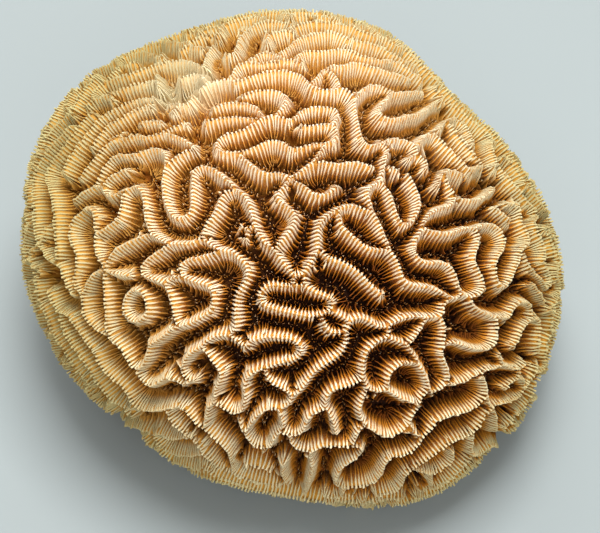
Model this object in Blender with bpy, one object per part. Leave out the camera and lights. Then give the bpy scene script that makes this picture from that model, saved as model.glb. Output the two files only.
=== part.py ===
"""Skeleton of a lesser star coral: one domed head, cut off flat below.

Long ridges wind over the whole dome, join and part again, and close here and there round a deep
pit. The dome is a squat ellipsoid whose outline follows the rim seen in the photograph. The ridges
seen there were read by eye, point by point, and are laid back on the dome along lines of sight. The
sides that it doesn't show are grown with the same spacing, starting from the ridges that it shows.
Lengths are in metres, +Z is up, and the origin is at the middle of the flat cut face.
"""
import heapq
import math

import bmesh
import bpy
import numpy as np
from mathutils.kdtree import KDTree

# Size and form of the head.
HALF_WIDTH = 0.0734
HALF_HEIGHT = 0.0587
CUT_BELOW_MIDDLE = 0.0300
BASE_SHIFT = (0.00036, -0.00195)

# The line of sight of the photograph: one pixel at the middle of the head, and where that middle is.
# The valleys notch the outline of the head by RIM_NOTCH pixels on average.
PIXEL = 0.00027
SIGHT_DISTANCE = 0.45
SIGHT_ELEVATION = math.radians(50.0)
HEAD_MIDDLE = (293.0, 262.0)
RIM_NOTCH = 1.6

# Ridges and valleys.
RIDGE_SPACING = 0.0077
VALLEY_DEPTH = 0.0046
FULL_DEPTH_HALF_WIDTH = 0.0036
RIDGE_ROUNDING = 0.16
READ_REACH = 0.0033
HALF_VALLEY = 0.0009

# Fineness of the growing surface, of the surface on which valleys are found and of the lines, and how
# far apart the solid's points are along ridge and valley.
GROWTH_LEVEL = 7
VALLEY_LEVEL = 8
LINE_STEP = 0.0003
GROWTH_ROUNDS = 70
SEED = 20
RIDGE_GAP = 0.0025
VALLEY_GAP = 0.0035
LONG_EDGE_COST = 0.25
NARROWEST = 0.0008

# The rim of the head in the photograph, in pixels from its upper left corner, clockwise.
RIM = (
    (300, 10), (320, 10), (335, 13), (350, 18), (365, 21), (380, 25), (392, 32), (404, 42), (416, 52),
    (427, 63), (437, 76), (447, 90), (459, 102), (471, 111), (482, 120), (492, 129), (502, 138),
    (513, 150), (523, 163), (533, 176), (542, 190), (549, 204), (554, 222), (559, 240), (563, 255),
    (565, 270),
    (565, 285), (563, 300), (559, 315), (556, 330), (553, 345), (550, 360), (548, 372), (543, 388),
    (536, 403), (526, 418), (519, 430), (508, 440), (497, 449), (487, 457), (478, 466), (466, 476),
    (455, 485), (445, 492), (435, 498), (420, 504), (405, 508), (390, 510), (372, 511), (355, 511),
    (340, 509), (325, 506), (310, 502), (298, 500), (285, 498), (270, 495), (255, 492), (240, 489),
    (228, 484), (213, 480), (198, 475), (185, 470), (172, 463), (160, 455), (150, 446), (140, 436),
    (128, 428), (116, 418), (103, 409), (92, 402), (82, 391), (72, 381), (62, 371), (60, 362),
    (54, 348), (47, 336), (40, 322), (35, 310), (28, 300), (23, 290), (21, 275), (20, 260), (21, 245),
    (23, 230), (25, 215), (23, 203), (20, 190), (22, 179), (26, 170), (30, 158), (34, 147), (42, 134),
    (49, 121), (57, 107), (64, 95), (73, 85), (83, 76), (95, 67), (108, 59), (123, 51), (138, 45),
    (152, 42), (165, 39), (175, 36), (185, 32), (195, 27), (210, 22), (228, 17), (248, 13), (272, 11),
)

# Ridge tops in the photograph, read by eye: each row is one stretch of ridge, in pixels.
LEFT_SIDE = (
    ((76, 290), (72, 278), (76, 268), (77, 258), (74, 249), (70, 241), (68, 232), (71, 221), (75, 213),
     (83, 209), (91, 207)),
    ((91, 207), (95, 215), (94, 225), (95, 235), (94, 246), (95, 256), (103, 262)),
    ((97, 233), (104, 229), (112, 224), (119, 220), (121, 210), (121, 199), (125, 190), (132, 185),
     (138, 185), (143, 193), (145, 205), (145, 216), (147, 226), (150, 233)),
    ((102, 181), (102, 190), (106, 198), (114, 196), (121, 191), (127, 187)),
    ((68, 206), (78, 195), (90, 189), (100, 183)),
    ((150, 233), (142, 237), (133, 240), (125, 245), (117, 249), (110, 255), (108, 261)),
    ((150, 233), (157, 237), (163, 243), (171, 245), (181, 244), (191, 245), (200, 241), (205, 236)),
    ((139, 270), (142, 264), (149, 258), (157, 253), (165, 248)),
    ((139, 270), (141, 277), (150, 280), (160, 280), (170, 278), (178, 275)),
    ((177, 270), (181, 264), (188, 260), (197, 259), (206, 257), (214, 252), (223, 250), (232, 251),
     (240, 257), (247, 265), (250, 275), (246, 285), (239, 293), (236, 303), (236, 315)),
    ((178, 274), (185, 279), (194, 283), (204, 284), (213, 287), (214, 297), (213, 308), (212, 320)),
    ((83, 318), (82, 305), (82, 293), (87, 282), (93, 273), (100, 271), (103, 281), (104, 292),
     (105, 305), (106, 318)),
    ((100, 271), (108, 272), (117, 275), (127, 276), (134, 279)),
    ((123, 303), (126, 295), (131, 289), (138, 288), (144, 294), (147, 303), (148, 313), (144, 321),
     (136, 325), (127, 322), (122, 313), (123, 303)),
    ((163, 281), (167, 289), (171, 298), (173, 308), (174, 319)),
    ((163, 172), (163, 185), (164, 197), (167, 209), (173, 218), (182, 222), (190, 217), (193, 207),
     (193, 195), (193, 183), (193, 170)),
    ((233, 188), (226, 190), (221, 197), (219, 206), (217, 214), (210, 221), (204, 227), (202, 235),
     (206, 243), (214, 247), (222, 250)),
)
MIDDLE = (
    ((233, 188), (241, 190), (247, 197), (251, 206), (253, 216), (255, 226), (259, 236), (265, 243),
     (273, 247), (281, 244), (287, 237), (292, 230), (297, 222), (298, 214), (291, 208), (283, 205),
     (278, 197), (276, 188)),
    ((243, 222), (245, 232), (247, 243)),
    ((273, 248), (279, 256), (285, 264), (291, 272), (297, 281), (301, 288)),
    ((322, 221), (319, 230), (319, 240), (320, 250), (318, 257), (311, 264), (305, 273), (304, 283),
     (309, 290), (318, 294), (327, 296), (336, 301)),
    ((318, 257), (326, 259), (336, 260), (346, 265), (355, 269), (362, 274), (367, 281), (373, 288),
     (381, 294), (390, 298)),
    ((281, 203), (281, 195), (286, 187), (294, 182), (302, 183), (308, 189), (311, 197)),
    ((309, 190), (313, 195), (320, 197), (328, 196), (335, 191), (340, 184)),
    ((322, 221), (329, 216), (336, 210), (343, 206), (351, 205), (359, 206), (367, 210), (374, 214),
     (380, 221), (384, 231), (387, 241), (392, 251)),
    ((338, 210), (340, 220), (344, 229), (350, 234), (357, 238), (363, 245), (370, 250), (379, 251),
     (387, 249)),
    ((258, 300), (262, 291), (268, 286), (276, 284), (284, 286), (291, 289)),
    ((258, 300), (263, 306), (272, 309), (282, 311), (292, 313), (302, 316), (313, 318), (322, 315),
     (330, 309), (336, 302)),
)
RIGHT_SIDE = (
    ((367, 196), (370, 188), (375, 183), (382, 181), (388, 186), (392, 194), (394, 204), (397, 214),
     (401, 223), (407, 228), (413, 225), (418, 217), (421, 208), (421, 198), (418, 189), (413, 181),
     (409, 174), (404, 168), (397, 171)),
    ((370, 195), (371, 205), (375, 214)),
    ((387, 249), (393, 255), (400, 261), (403, 270), (403, 279), (408, 286), (417, 287), (427, 286),
     (436, 288), (443, 293), (452, 298), (462, 302), (472, 304), (480, 302)),
    ((417, 240), (414, 249), (417, 258), (426, 264), (436, 264), (446, 261), (453, 265), (457, 274),
     (459, 284), (463, 293), (471, 299), (481, 300)),
    ((417, 240), (424, 234), (433, 231), (443, 233), (452, 235), (460, 230), (469, 227), (478, 228),
     (485, 225), (493, 223), (501, 226), (506, 234), (508, 243), (505, 251), (497, 255)),
    ((482, 232), (482, 241), (478, 250), (475, 258), (477, 267), (482, 273), (486, 281), (488, 291),
     (484, 298)),
    ((505, 251), (498, 257), (496, 266), (498, 276), (501, 285), (502, 294)),
    ((524, 245), (523, 256), (519, 266), (515, 276), (510, 285), (504, 293)),
    ((449, 186), (454, 193), (461, 198), (470, 201), (479, 200), (488, 196), (494, 190), (498, 184)),
    ((424, 228), (426, 220), (431, 213), (439, 209), (448, 206), (457, 203), (461, 199)),
    ((497, 207), (505, 213), (512, 218), (516, 226)),
)
UPPER_LEFT = (
    ((62, 172), (66, 162), (72, 153), (80, 143), (88, 133), (94, 124), (100, 117), (108, 112),
     (116, 108), (126, 103), (133, 99), (148, 98), (160, 97)),
    ((88, 150), (96, 140), (101, 131), (110, 123), (118, 120), (130, 112), (142, 107), (152, 105)),
    ((75, 182), (85, 170), (95, 158), (105, 145), (112, 138), (120, 134), (130, 132), (143, 134),
     (150, 136), (158, 134), (165, 131), (172, 128), (180, 125), (188, 122)),
    ((141, 123), (148, 121), (156, 120), (163, 122)),
    ((112, 143), (122, 139), (135, 136), (150, 139), (165, 137), (180, 132)),
    ((102, 172), (105, 165), (110, 158), (118, 155), (126, 154), (132, 156), (137, 160)),
    ((100, 187), (104, 182), (109, 177), (116, 174), (123, 171), (129, 167)),
    ((142, 150), (150, 148), (158, 148), (164, 150)),
    ((166, 165), (175, 157), (182, 153), (188, 150), (194, 148), (199, 147)),
    ((173, 140), (178, 136), (184, 138), (188, 143), (192, 147)),
    ((192, 170), (196, 166), (205, 165), (213, 168), (220, 173), (226, 178), (230, 183)),
    ((166, 165), (164, 169), (163, 172)),
    ((164, 150), (167, 158), (166, 165)),
)
UPPER_MIDDLE = (
    ((215, 146), (218, 138), (226, 134), (236, 132), (246, 130), (252, 127), (256, 121), (262, 119),
     (275, 115), (290, 119), (300, 124), (312, 127), (322, 124), (333, 123), (340, 130), (338, 140),
     (334, 143)),
    ((213, 150), (222, 152), (232, 153), (242, 152), (250, 150), (258, 146), (266, 141), (275, 139),
     (283, 141), (288, 147), (293, 151), (300, 150), (308, 146), (316, 143), (326, 142), (334, 143)),
    ((243, 96), (250, 92), (258, 90), (268, 90), (276, 90), (283, 91), (288, 96), (287, 104),
     (283, 110), (275, 115)),
    ((213, 108), (222, 104), (232, 102), (242, 102), (250, 104), (257, 107), (262, 112), (264, 117)),
    ((205, 121), (213, 119), (222, 118), (230, 117), (238, 117), (248, 118), (256, 119), (262, 120)),
    ((243, 82), (250, 76), (258, 73), (268, 71), (278, 70), (290, 71), (300, 73), (306, 78), (310, 85),
     (312, 93)),
    ((297, 118), (300, 112), (305, 108), (312, 106), (320, 107), (328, 107), (336, 107), (341, 111),
     (341, 118), (337, 123)),
    ((316, 88), (325, 90), (333, 90), (342, 88), (350, 90), (357, 91)),
    ((327, 65), (333, 72), (339, 79), (345, 85), (350, 89)),
    ((314, 82), (318, 77), (323, 71), (327, 66)),
    ((357, 91), (356, 100), (357, 110), (358, 118), (360, 126), (361, 134), (363, 140), (367, 145)),
    ((309, 167), (313, 162), (320, 160), (328, 162), (336, 164), (341, 167), (344, 165), (350, 162),
     (358, 161), (366, 163), (373, 166), (378, 170)),
    ((306, 168), (310, 162), (316, 156), (323, 152), (330, 148)),
    ((243, 155), (247, 162), (255, 168), (262, 173), (268, 176), (274, 172), (279, 170), (284, 175),
     (290, 179), (296, 176), (302, 174), (308, 170)),
)
UPPER_RIGHT = (
    ((362, 92), (364, 87), (370, 84), (377, 84), (384, 86), (388, 90), (395, 93)),
    ((327, 66), (337, 66), (347, 64), (357, 61), (366, 64), (376, 68), (386, 70), (395, 73), (404, 76),
     (412, 79)),
    ((376, 115), (380, 108), (386, 102), (391, 97), (395, 93), (402, 92), (410, 92), (418, 91),
     (426, 93)),
    ((378, 112), (383, 116), (390, 119), (400, 119), (408, 115), (418, 115), (427, 111), (433, 104),
     (440, 102)),
    ((367, 145), (372, 148), (383, 143), (392, 139), (400, 139), (408, 140), (414, 143), (418, 147)),
    ((383, 175), (385, 168), (386, 160), (388, 153), (393, 148)),
    ((412, 157), (416, 154), (421, 153), (426, 156), (429, 162), (428, 168)),
    ((421, 148), (422, 141), (426, 135), (432, 132), (438, 134), (443, 139), (450, 150), (456, 154),
     (462, 160), (470, 168), (478, 175)),
    ((440, 130), (444, 124), (449, 119), (455, 117), (461, 119), (466, 124), (470, 130), (473, 137),
     (475, 144)),
    ((449, 120), (453, 128), (458, 134), (463, 139), (468, 144), (473, 150), (478, 156), (483, 162)),
    ((440, 190), (441, 180), (443, 172), (449, 169), (456, 171), (463, 173), (470, 174)),
    ((446, 172), (447, 180), (449, 187)),
    ((475, 170), (480, 165), (485, 163), (490, 167)),
)
LOWER_LEFT = (
    ((106, 318), (104, 328), (108, 337), (114, 344), (120, 351), (125, 359), (130, 367), (135, 375),
     (140, 382), (147, 388), (154, 388), (160, 382), (166, 377), (172, 379), (178, 385), (185, 388),
     (191, 385), (196, 379)),
    ((174, 319), (174, 327), (183, 327), (191, 325), (198, 321), (205, 316), (211, 310)),
    ((174, 327), (168, 332), (163, 338), (155, 340), (148, 342)),
    ((148, 342), (148, 351), (146, 359), (142, 367), (138, 374)),
    ((182, 366), (184, 359), (190, 354), (197, 350), (204, 346), (209, 340), (216, 336), (224, 335),
     (232, 338), (239, 344), (245, 350), (252, 353)),
    ((182, 366), (181, 374), (183, 382), (186, 388)),
    ((206, 348), (207, 355), (212, 362), (218, 368), (223, 375), (222, 382), (217, 388), (212, 394),
     (209, 401), (208, 410), (207, 419), (204, 427)),
    ((253, 372), (247, 377), (245, 385), (245, 394), (247, 403), (245, 411), (239, 417), (232, 416),
     (225, 411), (217, 404), (210, 398)),
    ((95, 360), (97, 368), (103, 373), (109, 378), (116, 384), (123, 390), (129, 396), (130, 404),
     (136, 409), (145, 412), (154, 412), (163, 410), (172, 408), (181, 407)),
    ((181, 407), (186, 413), (191, 420), (197, 427), (204, 432), (211, 437), (218, 443), (225, 449),
     (230, 457), (232, 466), (233, 475), (240, 479), (250, 483), (262, 486), (275, 488), (288, 490)),
    ((163, 412), (168, 418), (173, 425), (177, 431), (184, 435), (191, 438), (197, 443), (200, 448),
     (203, 455), (209, 460), (214, 467), (222, 472), (230, 475)),
    ((122, 424), (132, 428), (142, 431), (150, 435), (155, 442), (160, 449), (168, 454), (178, 457),
     (188, 459), (198, 457), (205, 453)),
    ((150, 434), (159, 437), (167, 441), (176, 442), (185, 439)),
    ((240, 423), (243, 431), (246, 438), (250, 444), (256, 450), (262, 453), (268, 455), (272, 450),
     (274, 443), (276, 436)),
)
LOWER_MIDDLE = (
    ((252, 353), (250, 345), (256, 340), (264, 338), (273, 338), (282, 338), (291, 339), (299, 342),
     (304, 348), (305, 355), (300, 360), (292, 362), (284, 363), (277, 365), (270, 368), (263, 370),
     (256, 372), (250, 374)),
    ((236, 315), (235, 325), (238, 334), (245, 341), (250, 345)),
    ((348, 341), (348, 349), (343, 354), (336, 359), (328, 364), (320, 368), (314, 373), (310, 380),
     (306, 387), (300, 393), (294, 397), (288, 392), (281, 388), (274, 385), (268, 381), (264, 375),
     (263, 370)),
    ((294, 397), (293, 402), (290, 407), (285, 410), (280, 411)),
    ((348, 341), (348, 333), (350, 325), (353, 319), (360, 316), (368, 319), (375, 324), (381, 330),
     (385, 331)),
    ((385, 331), (383, 339), (377, 344), (371, 348), (367, 353), (365, 360), (364, 368), (364, 378)),
    ((364, 378), (358, 384), (350, 388), (342, 389), (334, 390), (328, 394), (326, 401), (327, 409),
     (323, 414), (316, 415), (310, 413), (307, 419), (308, 427), (303, 435), (297, 439), (291, 441)),
    ((327, 409), (331, 414), (334, 421), (336, 429), (337, 437), (338, 446)),
    ((364, 378), (369, 385), (370, 392), (365, 399), (361, 407), (361, 416), (360, 424), (358, 432),
     (357, 440), (357, 448)),
    ((364, 424), (371, 429), (378, 434), (385, 439), (391, 441), (397, 437), (403, 434), (409, 430),
     (413, 424)),
    ((322, 316), (324, 324), (327, 331), (333, 336), (341, 336), (348, 333)),
    ((330, 310), (337, 315), (345, 317), (353, 316)),
)
LOWER_RIGHT = (
    ((447, 300), (446, 310), (447, 320), (448, 330), (447, 340), (444, 348), (443, 356), (446, 363),
     (450, 370), (452, 377), (451, 385)),
    ((447, 342), (455, 342), (463, 344), (470, 348), (478, 350), (486, 350), (493, 350), (498, 345),
     (499, 337), (499, 329), (500, 321), (500, 317), (494, 316), (487, 314), (480, 311), (474, 306),
     (470, 300)),
    ((451, 385), (458, 386), (466, 384), (473, 379), (480, 375), (487, 371), (494, 368), (500, 370),
     (506, 367), (504, 360), (498, 354)),
    ((498, 354), (504, 358), (508, 364), (514, 370), (520, 371), (525, 366), (531, 361)),
    ((487, 371), (487, 380), (489, 388), (490, 396), (489, 403)),
    ((385, 331), (392, 325), (400, 320), (408, 317), (416, 317), (424, 318), (433, 317), (441, 313),
     (446, 307)),
    ((424, 318), (425, 326), (423, 333), (418, 337)),
    ((385, 331), (390, 338), (398, 341), (406, 344), (412, 349), (416, 356), (420, 363), (424, 370),
     (428, 377), (430, 384), (432, 391)),
    ((418, 361), (410, 362), (402, 364), (395, 369), (391, 376), (388, 384), (391, 391), (398, 397),
     (406, 402), (414, 404), (421, 402), (426, 397), (431, 392)),
    ((451, 385), (444, 389), (437, 391), (431, 392)),
    ((370, 392), (377, 395), (384, 393), (390, 391)),
    ((431, 392), (429, 400), (424, 407), (418, 413), (412, 420), (409, 427), (409, 432)),
    ((409, 432), (413, 434), (420, 436), (427, 438)),
    ((388, 459), (397, 459), (406, 458), (414, 454), (420, 448), (425, 441), (431, 433), (436, 426),
     (442, 420), (450, 418), (458, 416), (465, 414), (472, 412), (479, 408), (484, 403), (489, 397)),
    ((412, 470), (420, 470), (427, 463), (434, 457), (441, 453), (447, 448), (452, 443), (460, 440),
     (468, 438), (475, 434), (480, 428), (485, 421), (489, 415), (491, 408), (489, 403)),
    ((412, 470), (407, 475), (405, 483), (401, 490), (395, 495), (385, 497), (375, 499)),
    ((412, 470), (420, 473), (429, 475), (437, 476), (444, 473), (449, 468), (455, 463), (457, 456),
     (453, 452)),
    ((429, 475), (433, 482), (435, 488), (428, 492), (420, 495)),
    ((478, 433), (474, 441), (473, 449), (474, 456), (470, 462), (465, 468), (460, 474), (454, 480),
     (447, 486), (440, 489), (430, 493)),
    ((474, 456), (481, 458), (487, 453), (491, 449), (498, 447)),
    ((498, 435), (498, 425), (499, 416), (495, 409), (489, 405)),
)
BOTTOM = (
    ((243, 440), (247, 432), (252, 425), (257, 418), (263, 412), (270, 408), (277, 409), (281, 415),
     (283, 423), (285, 431), (290, 438), (291, 446), (296, 451), (303, 454), (309, 455), (315, 452),
     (322, 449), (330, 447), (338, 448), (346, 449), (354, 449), (361, 448), (367, 446)),
    ((309, 455), (312, 462), (314, 469), (312, 477), (309, 485), (306, 492), (304, 497)),
    ((367, 446), (366, 453), (360, 458), (353, 463), (346, 467), (341, 472), (337, 479), (335, 487),
     (342, 490), (350, 489), (358, 489), (367, 489), (374, 486), (380, 480), (384, 473), (387, 466),
     (388, 459)),
    ((284, 464), (282, 472), (283, 480), (288, 487)),
)
LEFT_RIM = (
    ((50, 190), (51, 202), (54, 214), (54, 227), (55, 240), (55, 252), (57, 264), (61, 273), (64, 284),
     (69, 292), (76, 299)),
    ((52, 160), (47, 168), (44, 176), (46, 184), (50, 190)),
    ((36, 166), (32, 176), (31, 190), (33, 204), (33, 218), (33, 232), (36, 244), (40, 255)),
    ((45, 225), (41, 236), (40, 248), (44, 258), (50, 264), (57, 264)),
    ((44, 285), (47, 296), (53, 308), (58, 320), (63, 333), (70, 345), (76, 353), (82, 362), (88, 372),
     (93, 383)),
    ((83, 318), (90, 326), (98, 333), (106, 338)),
    ((52, 160), (60, 152), (66, 143), (73, 135), (80, 124), (84, 117), (92, 112)),
    ((36, 166), (42, 158), (48, 148), (55, 140), (62, 134), (68, 127), (72, 120)),
)
RIGHT_RIM = (
    ((508, 204), (516, 203), (523, 206), (524, 216), (525, 226), (530, 233), (534, 241), (528, 246),
     (524, 252)),
    ((533, 203), (538, 208), (541, 215), (537, 222), (538, 230), (542, 237), (547, 245), (550, 252)),
    ((550, 250), (546, 257), (545, 263), (549, 270), (553, 277), (554, 285), (550, 290)),
    ((524, 252), (528, 259), (530, 265), (534, 271), (539, 276), (545, 281), (549, 287)),
    ((532, 283), (538, 286), (541, 292), (545, 298), (549, 303)),
    ((514, 320), (513, 313), (516, 306), (522, 302), (529, 301), (534, 306), (536, 313), (536, 320),
     (531, 323), (525, 328), (522, 335), (521, 342), (517, 347), (512, 350)),
    ((500, 317), (508, 318), (514, 320)),
    ((541, 318), (546, 325), (543, 335), (541, 345), (542, 352)),
    ((491, 408), (500, 405), (508, 404), (516, 402), (523, 398), (530, 392)),
    ((508, 391), (512, 384), (519, 379), (526, 378), (530, 392)),
)
TOP_RIM = (
    ((160, 63), (170, 61), (180, 60), (190, 60), (198, 64), (203, 69)),
    ((203, 69), (205, 60), (209, 52), (213, 45), (220, 42)),
    ((178, 78), (186, 75), (193, 73), (200, 73), (205, 79)),
    ((200, 88), (210, 82), (220, 79), (230, 79), (240, 82)),
    ((234, 72), (236, 65), (243, 61), (251, 62), (260, 64), (270, 62), (280, 59), (290, 59), (298, 60),
     (303, 63)),
    ((251, 60), (255, 56), (260, 52), (267, 49), (272, 52), (277, 56)),
    ((285, 50), (291, 44), (297, 39), (305, 35), (314, 33), (324, 31), (334, 31), (342, 33), (347, 38)),
    ((298, 60), (300, 52), (305, 49), (312, 50), (320, 52), (330, 49), (340, 48), (350, 49), (358, 52),
     (361, 56)),
    ((361, 56), (368, 56), (376, 58), (384, 60), (392, 58), (400, 62), (406, 66), (413, 71), (420, 77),
     (427, 82)),
    ((347, 38), (357, 40), (368, 42), (378, 44), (386, 48), (395, 53), (403, 58), (412, 63), (420, 68)),
)

RIDGE_TOPS = (LEFT_SIDE + MIDDLE + RIGHT_SIDE + UPPER_LEFT + UPPER_MIDDLE + UPPER_RIGHT + LOWER_LEFT
              + LOWER_MIDDLE + LOWER_RIGHT + BOTTOM + LEFT_RIM + RIGHT_RIM + TOP_RIM)

# Axes of the line of sight: to the right, up in the picture, and from the head to the viewer.
TO_RIGHT = np.array((1.0, 0.0, 0.0))
TO_TOP = np.array((0.0, math.sin(SIGHT_ELEVATION), math.cos(SIGHT_ELEVATION)))
TO_VIEWER = np.array((0.0, -math.cos(SIGHT_ELEVATION), math.sin(SIGHT_ELEVATION)))
FOCAL = SIGHT_DISTANCE / PIXEL
STEPS_ROUND = 72


def unit_ball(level):
    """Points of a ball of radius 1 split into even triangles, and its triangles."""
    ball = bmesh.new()
    bmesh.ops.create_icosphere(ball, subdivisions=level, radius=1.0)
    points = np.array([v.co for v in ball.verts])
    faces = np.array([[v.index for v in f.verts] for f in ball.faces])
    ball.free()
    return points / np.linalg.norm(points, axis=1)[:, None], faces


def picture_place(points):
    """Pixel at which each point of the head is seen."""
    right, up, near = points @ TO_RIGHT, points @ TO_TOP, points @ TO_VIEWER
    scale = FOCAL / (SIGHT_DISTANCE - near)
    return np.stack((HEAD_MIDDLE[0] + right * scale, HEAD_MIDDLE[1] - up * scale), axis=1)


def round_the_rim(pixels):
    """Direction and distance of each pixel from the middle of the head."""
    across = pixels[:, 0] - HEAD_MIDDLE[0]
    up = HEAD_MIDDLE[1] - pixels[:, 1]
    return np.arctan2(up, across), np.hypot(across, up)


def swell_at(swell, angles):
    """How far the outline swells beyond the plain ellipsoid in each direction."""
    steps = np.linspace(-math.pi, math.pi, STEPS_ROUND, endpoint=False)
    return np.interp(angles, steps, swell, period=2.0 * math.pi)


def head_points(directions, swell):
    """Points of the smooth head, through the tops of its ridges, about its middle."""
    plain = directions * np.array((HALF_WIDTH, HALF_WIDTH, HALF_HEIGHT))
    right, up, near = plain @ TO_RIGHT, plain @ TO_TOP, plain @ TO_VIEWER
    factor = swell_at(swell, np.arctan2(up, right))
    return (np.outer(right * factor, TO_RIGHT) + np.outer(up * factor, TO_TOP)
            + np.outer(near, TO_VIEWER))


def fit_swell():
    """Outline swelling that brings the rim of the cut head onto the rim in the photograph."""
    steps = np.linspace(-math.pi, math.pi, STEPS_ROUND, endpoint=False)
    rim_angles, rim_reach = round_the_rim(np.array(RIM, float))
    order = np.argsort(rim_angles)
    wanted = np.interp(steps, rim_angles[order], rim_reach[order], period=2.0 * math.pi) + RIM_NOTCH
    wanted = (np.roll(wanted, 1) + 2.0 * wanted + np.roll(wanted, -1)) / 4.0
    directions, _ = unit_ball(6)
    swell = np.ones(STEPS_ROUND)
    for _ in range(5):
        points = head_points(directions, swell)
        points = points[points[:, 2] > -CUT_BELOW_MIDDLE]
        angles, reach = round_the_rim(picture_place(points))
        nearest = np.round((angles + math.pi) / (2.0 * math.pi) * STEPS_ROUND).astype(int) % STEPS_ROUND
        seen = np.zeros(STEPS_ROUND)
        np.maximum.at(seen, nearest, reach)
        swell = swell * wanted / seen
        swell = (np.roll(swell, 1) + 2.0 * swell + np.roll(swell, -1)) / 4.0
    return swell


def lay_on_head(pixels, swell):
    """Points of the smooth head seen at the given pixels."""
    across = (pixels[:, 0] - HEAD_MIDDLE[0]) / FOCAL
    up = (HEAD_MIDDLE[1] - pixels[:, 1]) / FOCAL
    near = np.zeros(len(pixels))
    factor = swell_at(swell, np.arctan2(up, across))
    squash = HALF_WIDTH / HALF_HEIGHT
    for _ in range(8):
        away = SIGHT_DISTANCE - near
        right = across * away / factor
        rise = up * away / factor
        # The plain ellipsoid is right^2 + forward^2 + (squash * height)^2 = HALF_WIDTH^2.
        a = TO_VIEWER[1] ** 2 + (squash * TO_VIEWER[2]) ** 2
        b = rise * (TO_TOP[1] * TO_VIEWER[1] + squash ** 2 * TO_TOP[2] * TO_VIEWER[2])
        c = right ** 2 + rise ** 2 * (TO_TOP[1] ** 2 + (squash * TO_TOP[2]) ** 2) - HALF_WIDTH ** 2
        near = (-b + np.sqrt(np.maximum(b * b - a * c, 0.0))) / a
    away = SIGHT_DISTANCE - near
    return (np.outer(across * away, TO_RIGHT) + np.outer(up * away, TO_TOP)
            + np.outer(near, TO_VIEWER))


def fine_run(run, step):
    """A run of points filled in so that neighbours are no more than a step apart."""
    filled = [run[:1]]
    for start, end in zip(run[:-1], run[1:]):
        count = max(1, int(math.ceil(np.linalg.norm(end - start) / step)))
        shares = (np.arange(1, count + 1) / count)[:, None]
        filled.append(start + shares * (end - start))
    return np.concatenate(filled)


def rounded(run, rounds):
    """A run of points with its corners rounded off and its ends kept."""
    for _ in range(rounds):
        run = np.concatenate((run[:1], 0.25 * run[:-2] + 0.5 * run[1:-1] + 0.25 * run[2:], run[-1:]))
    return run


def unit(vectors):
    return vectors / np.linalg.norm(vectors, axis=1)[:, None]


def read_ridges(swell):
    """The ridge tops read from the photograph, as closely spaced points on the head.

    Each point comes with the direction of its ridge.
    """
    points, along = [], []
    for pixels in RIDGE_TOPS:
        run = rounded(fine_run(np.array(pixels, float), 1.0), 12)
        run = fine_run(lay_on_head(run, swell), LINE_STEP)
        points.append(run)
        along.append(unit(np.gradient(run, axis=0)))
    return np.concatenate(points), np.concatenate(along)


def search_tree(points):
    tree = KDTree(len(points))
    for index, point in enumerate(points):
        tree.insert(point, index)
    tree.balance()
    return tree


def corner_neighbours(count, faces):
    """Up to six neighbours of every point, and which of the six places are filled."""
    pairs = np.concatenate((faces[:, (0, 1)], faces[:, (1, 2)], faces[:, (2, 0)]))
    pairs = np.unique(np.concatenate((pairs, pairs[:, ::-1])), axis=0)
    starts = np.searchsorted(pairs[:, 0], np.arange(count))
    place = np.arange(len(pairs)) - starts[pairs[:, 0]]
    around = np.repeat(np.arange(count)[:, None], 6, axis=1)
    filled = np.zeros((count, 6), bool)
    around[pairs[:, 0], place] = pairs[:, 1]
    filled[pairs[:, 0], place] = True
    return around, filled


def spread(values, around, weights, rounds):
    """Values evened out over the surface, as a drop of ink spreads."""
    for _ in range(rounds):
        values = values + ((values[around] - values[:, None]) * weights).sum(axis=1)
    return values


def grow_field(points, faces, ridges):
    """A field over the head that is high along the ridges and low along the valleys.

    Each place is raised by what is close to it and held down by what is farther off, which draws
    out winding ridges of even spacing. Close to the ridges that were read, they set the field.
    """
    around, filled = corner_neighbours(len(points), faces)
    lengths = np.linalg.norm(points[around] - points[:, None], axis=2)
    narrow = 0.153 * RIDGE_SPACING
    step = 0.5 * narrow ** 2 / 3.0
    weights = np.where(filled, (4.0 / 6.0) * step / np.maximum(lengths, 1e-6) ** 2, 0.0)
    tree = search_tree(ridges)
    reach = np.array([tree.find(point)[2] for point in points])
    target = np.cos(np.pi * np.minimum(reach / (0.5 * RIDGE_SPACING), 1.0))
    held = np.clip((READ_REACH - reach) / (0.25 * READ_REACH), 0.0, 1.0)
    noise = np.random.default_rng(SEED).uniform(-0.4, 0.4, len(points))
    field = held * target + (1.0 - held) * noise
    for _ in range(GROWTH_ROUNDS):
        near = spread(field, around, weights, 3)
        far = spread(near, around, weights, 9)
        pull = near - far
        field = held * target + (1.0 - held) * np.tanh(6.0 * pull + 0.05)
    return spread(field, around, weights, 3), around


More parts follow.
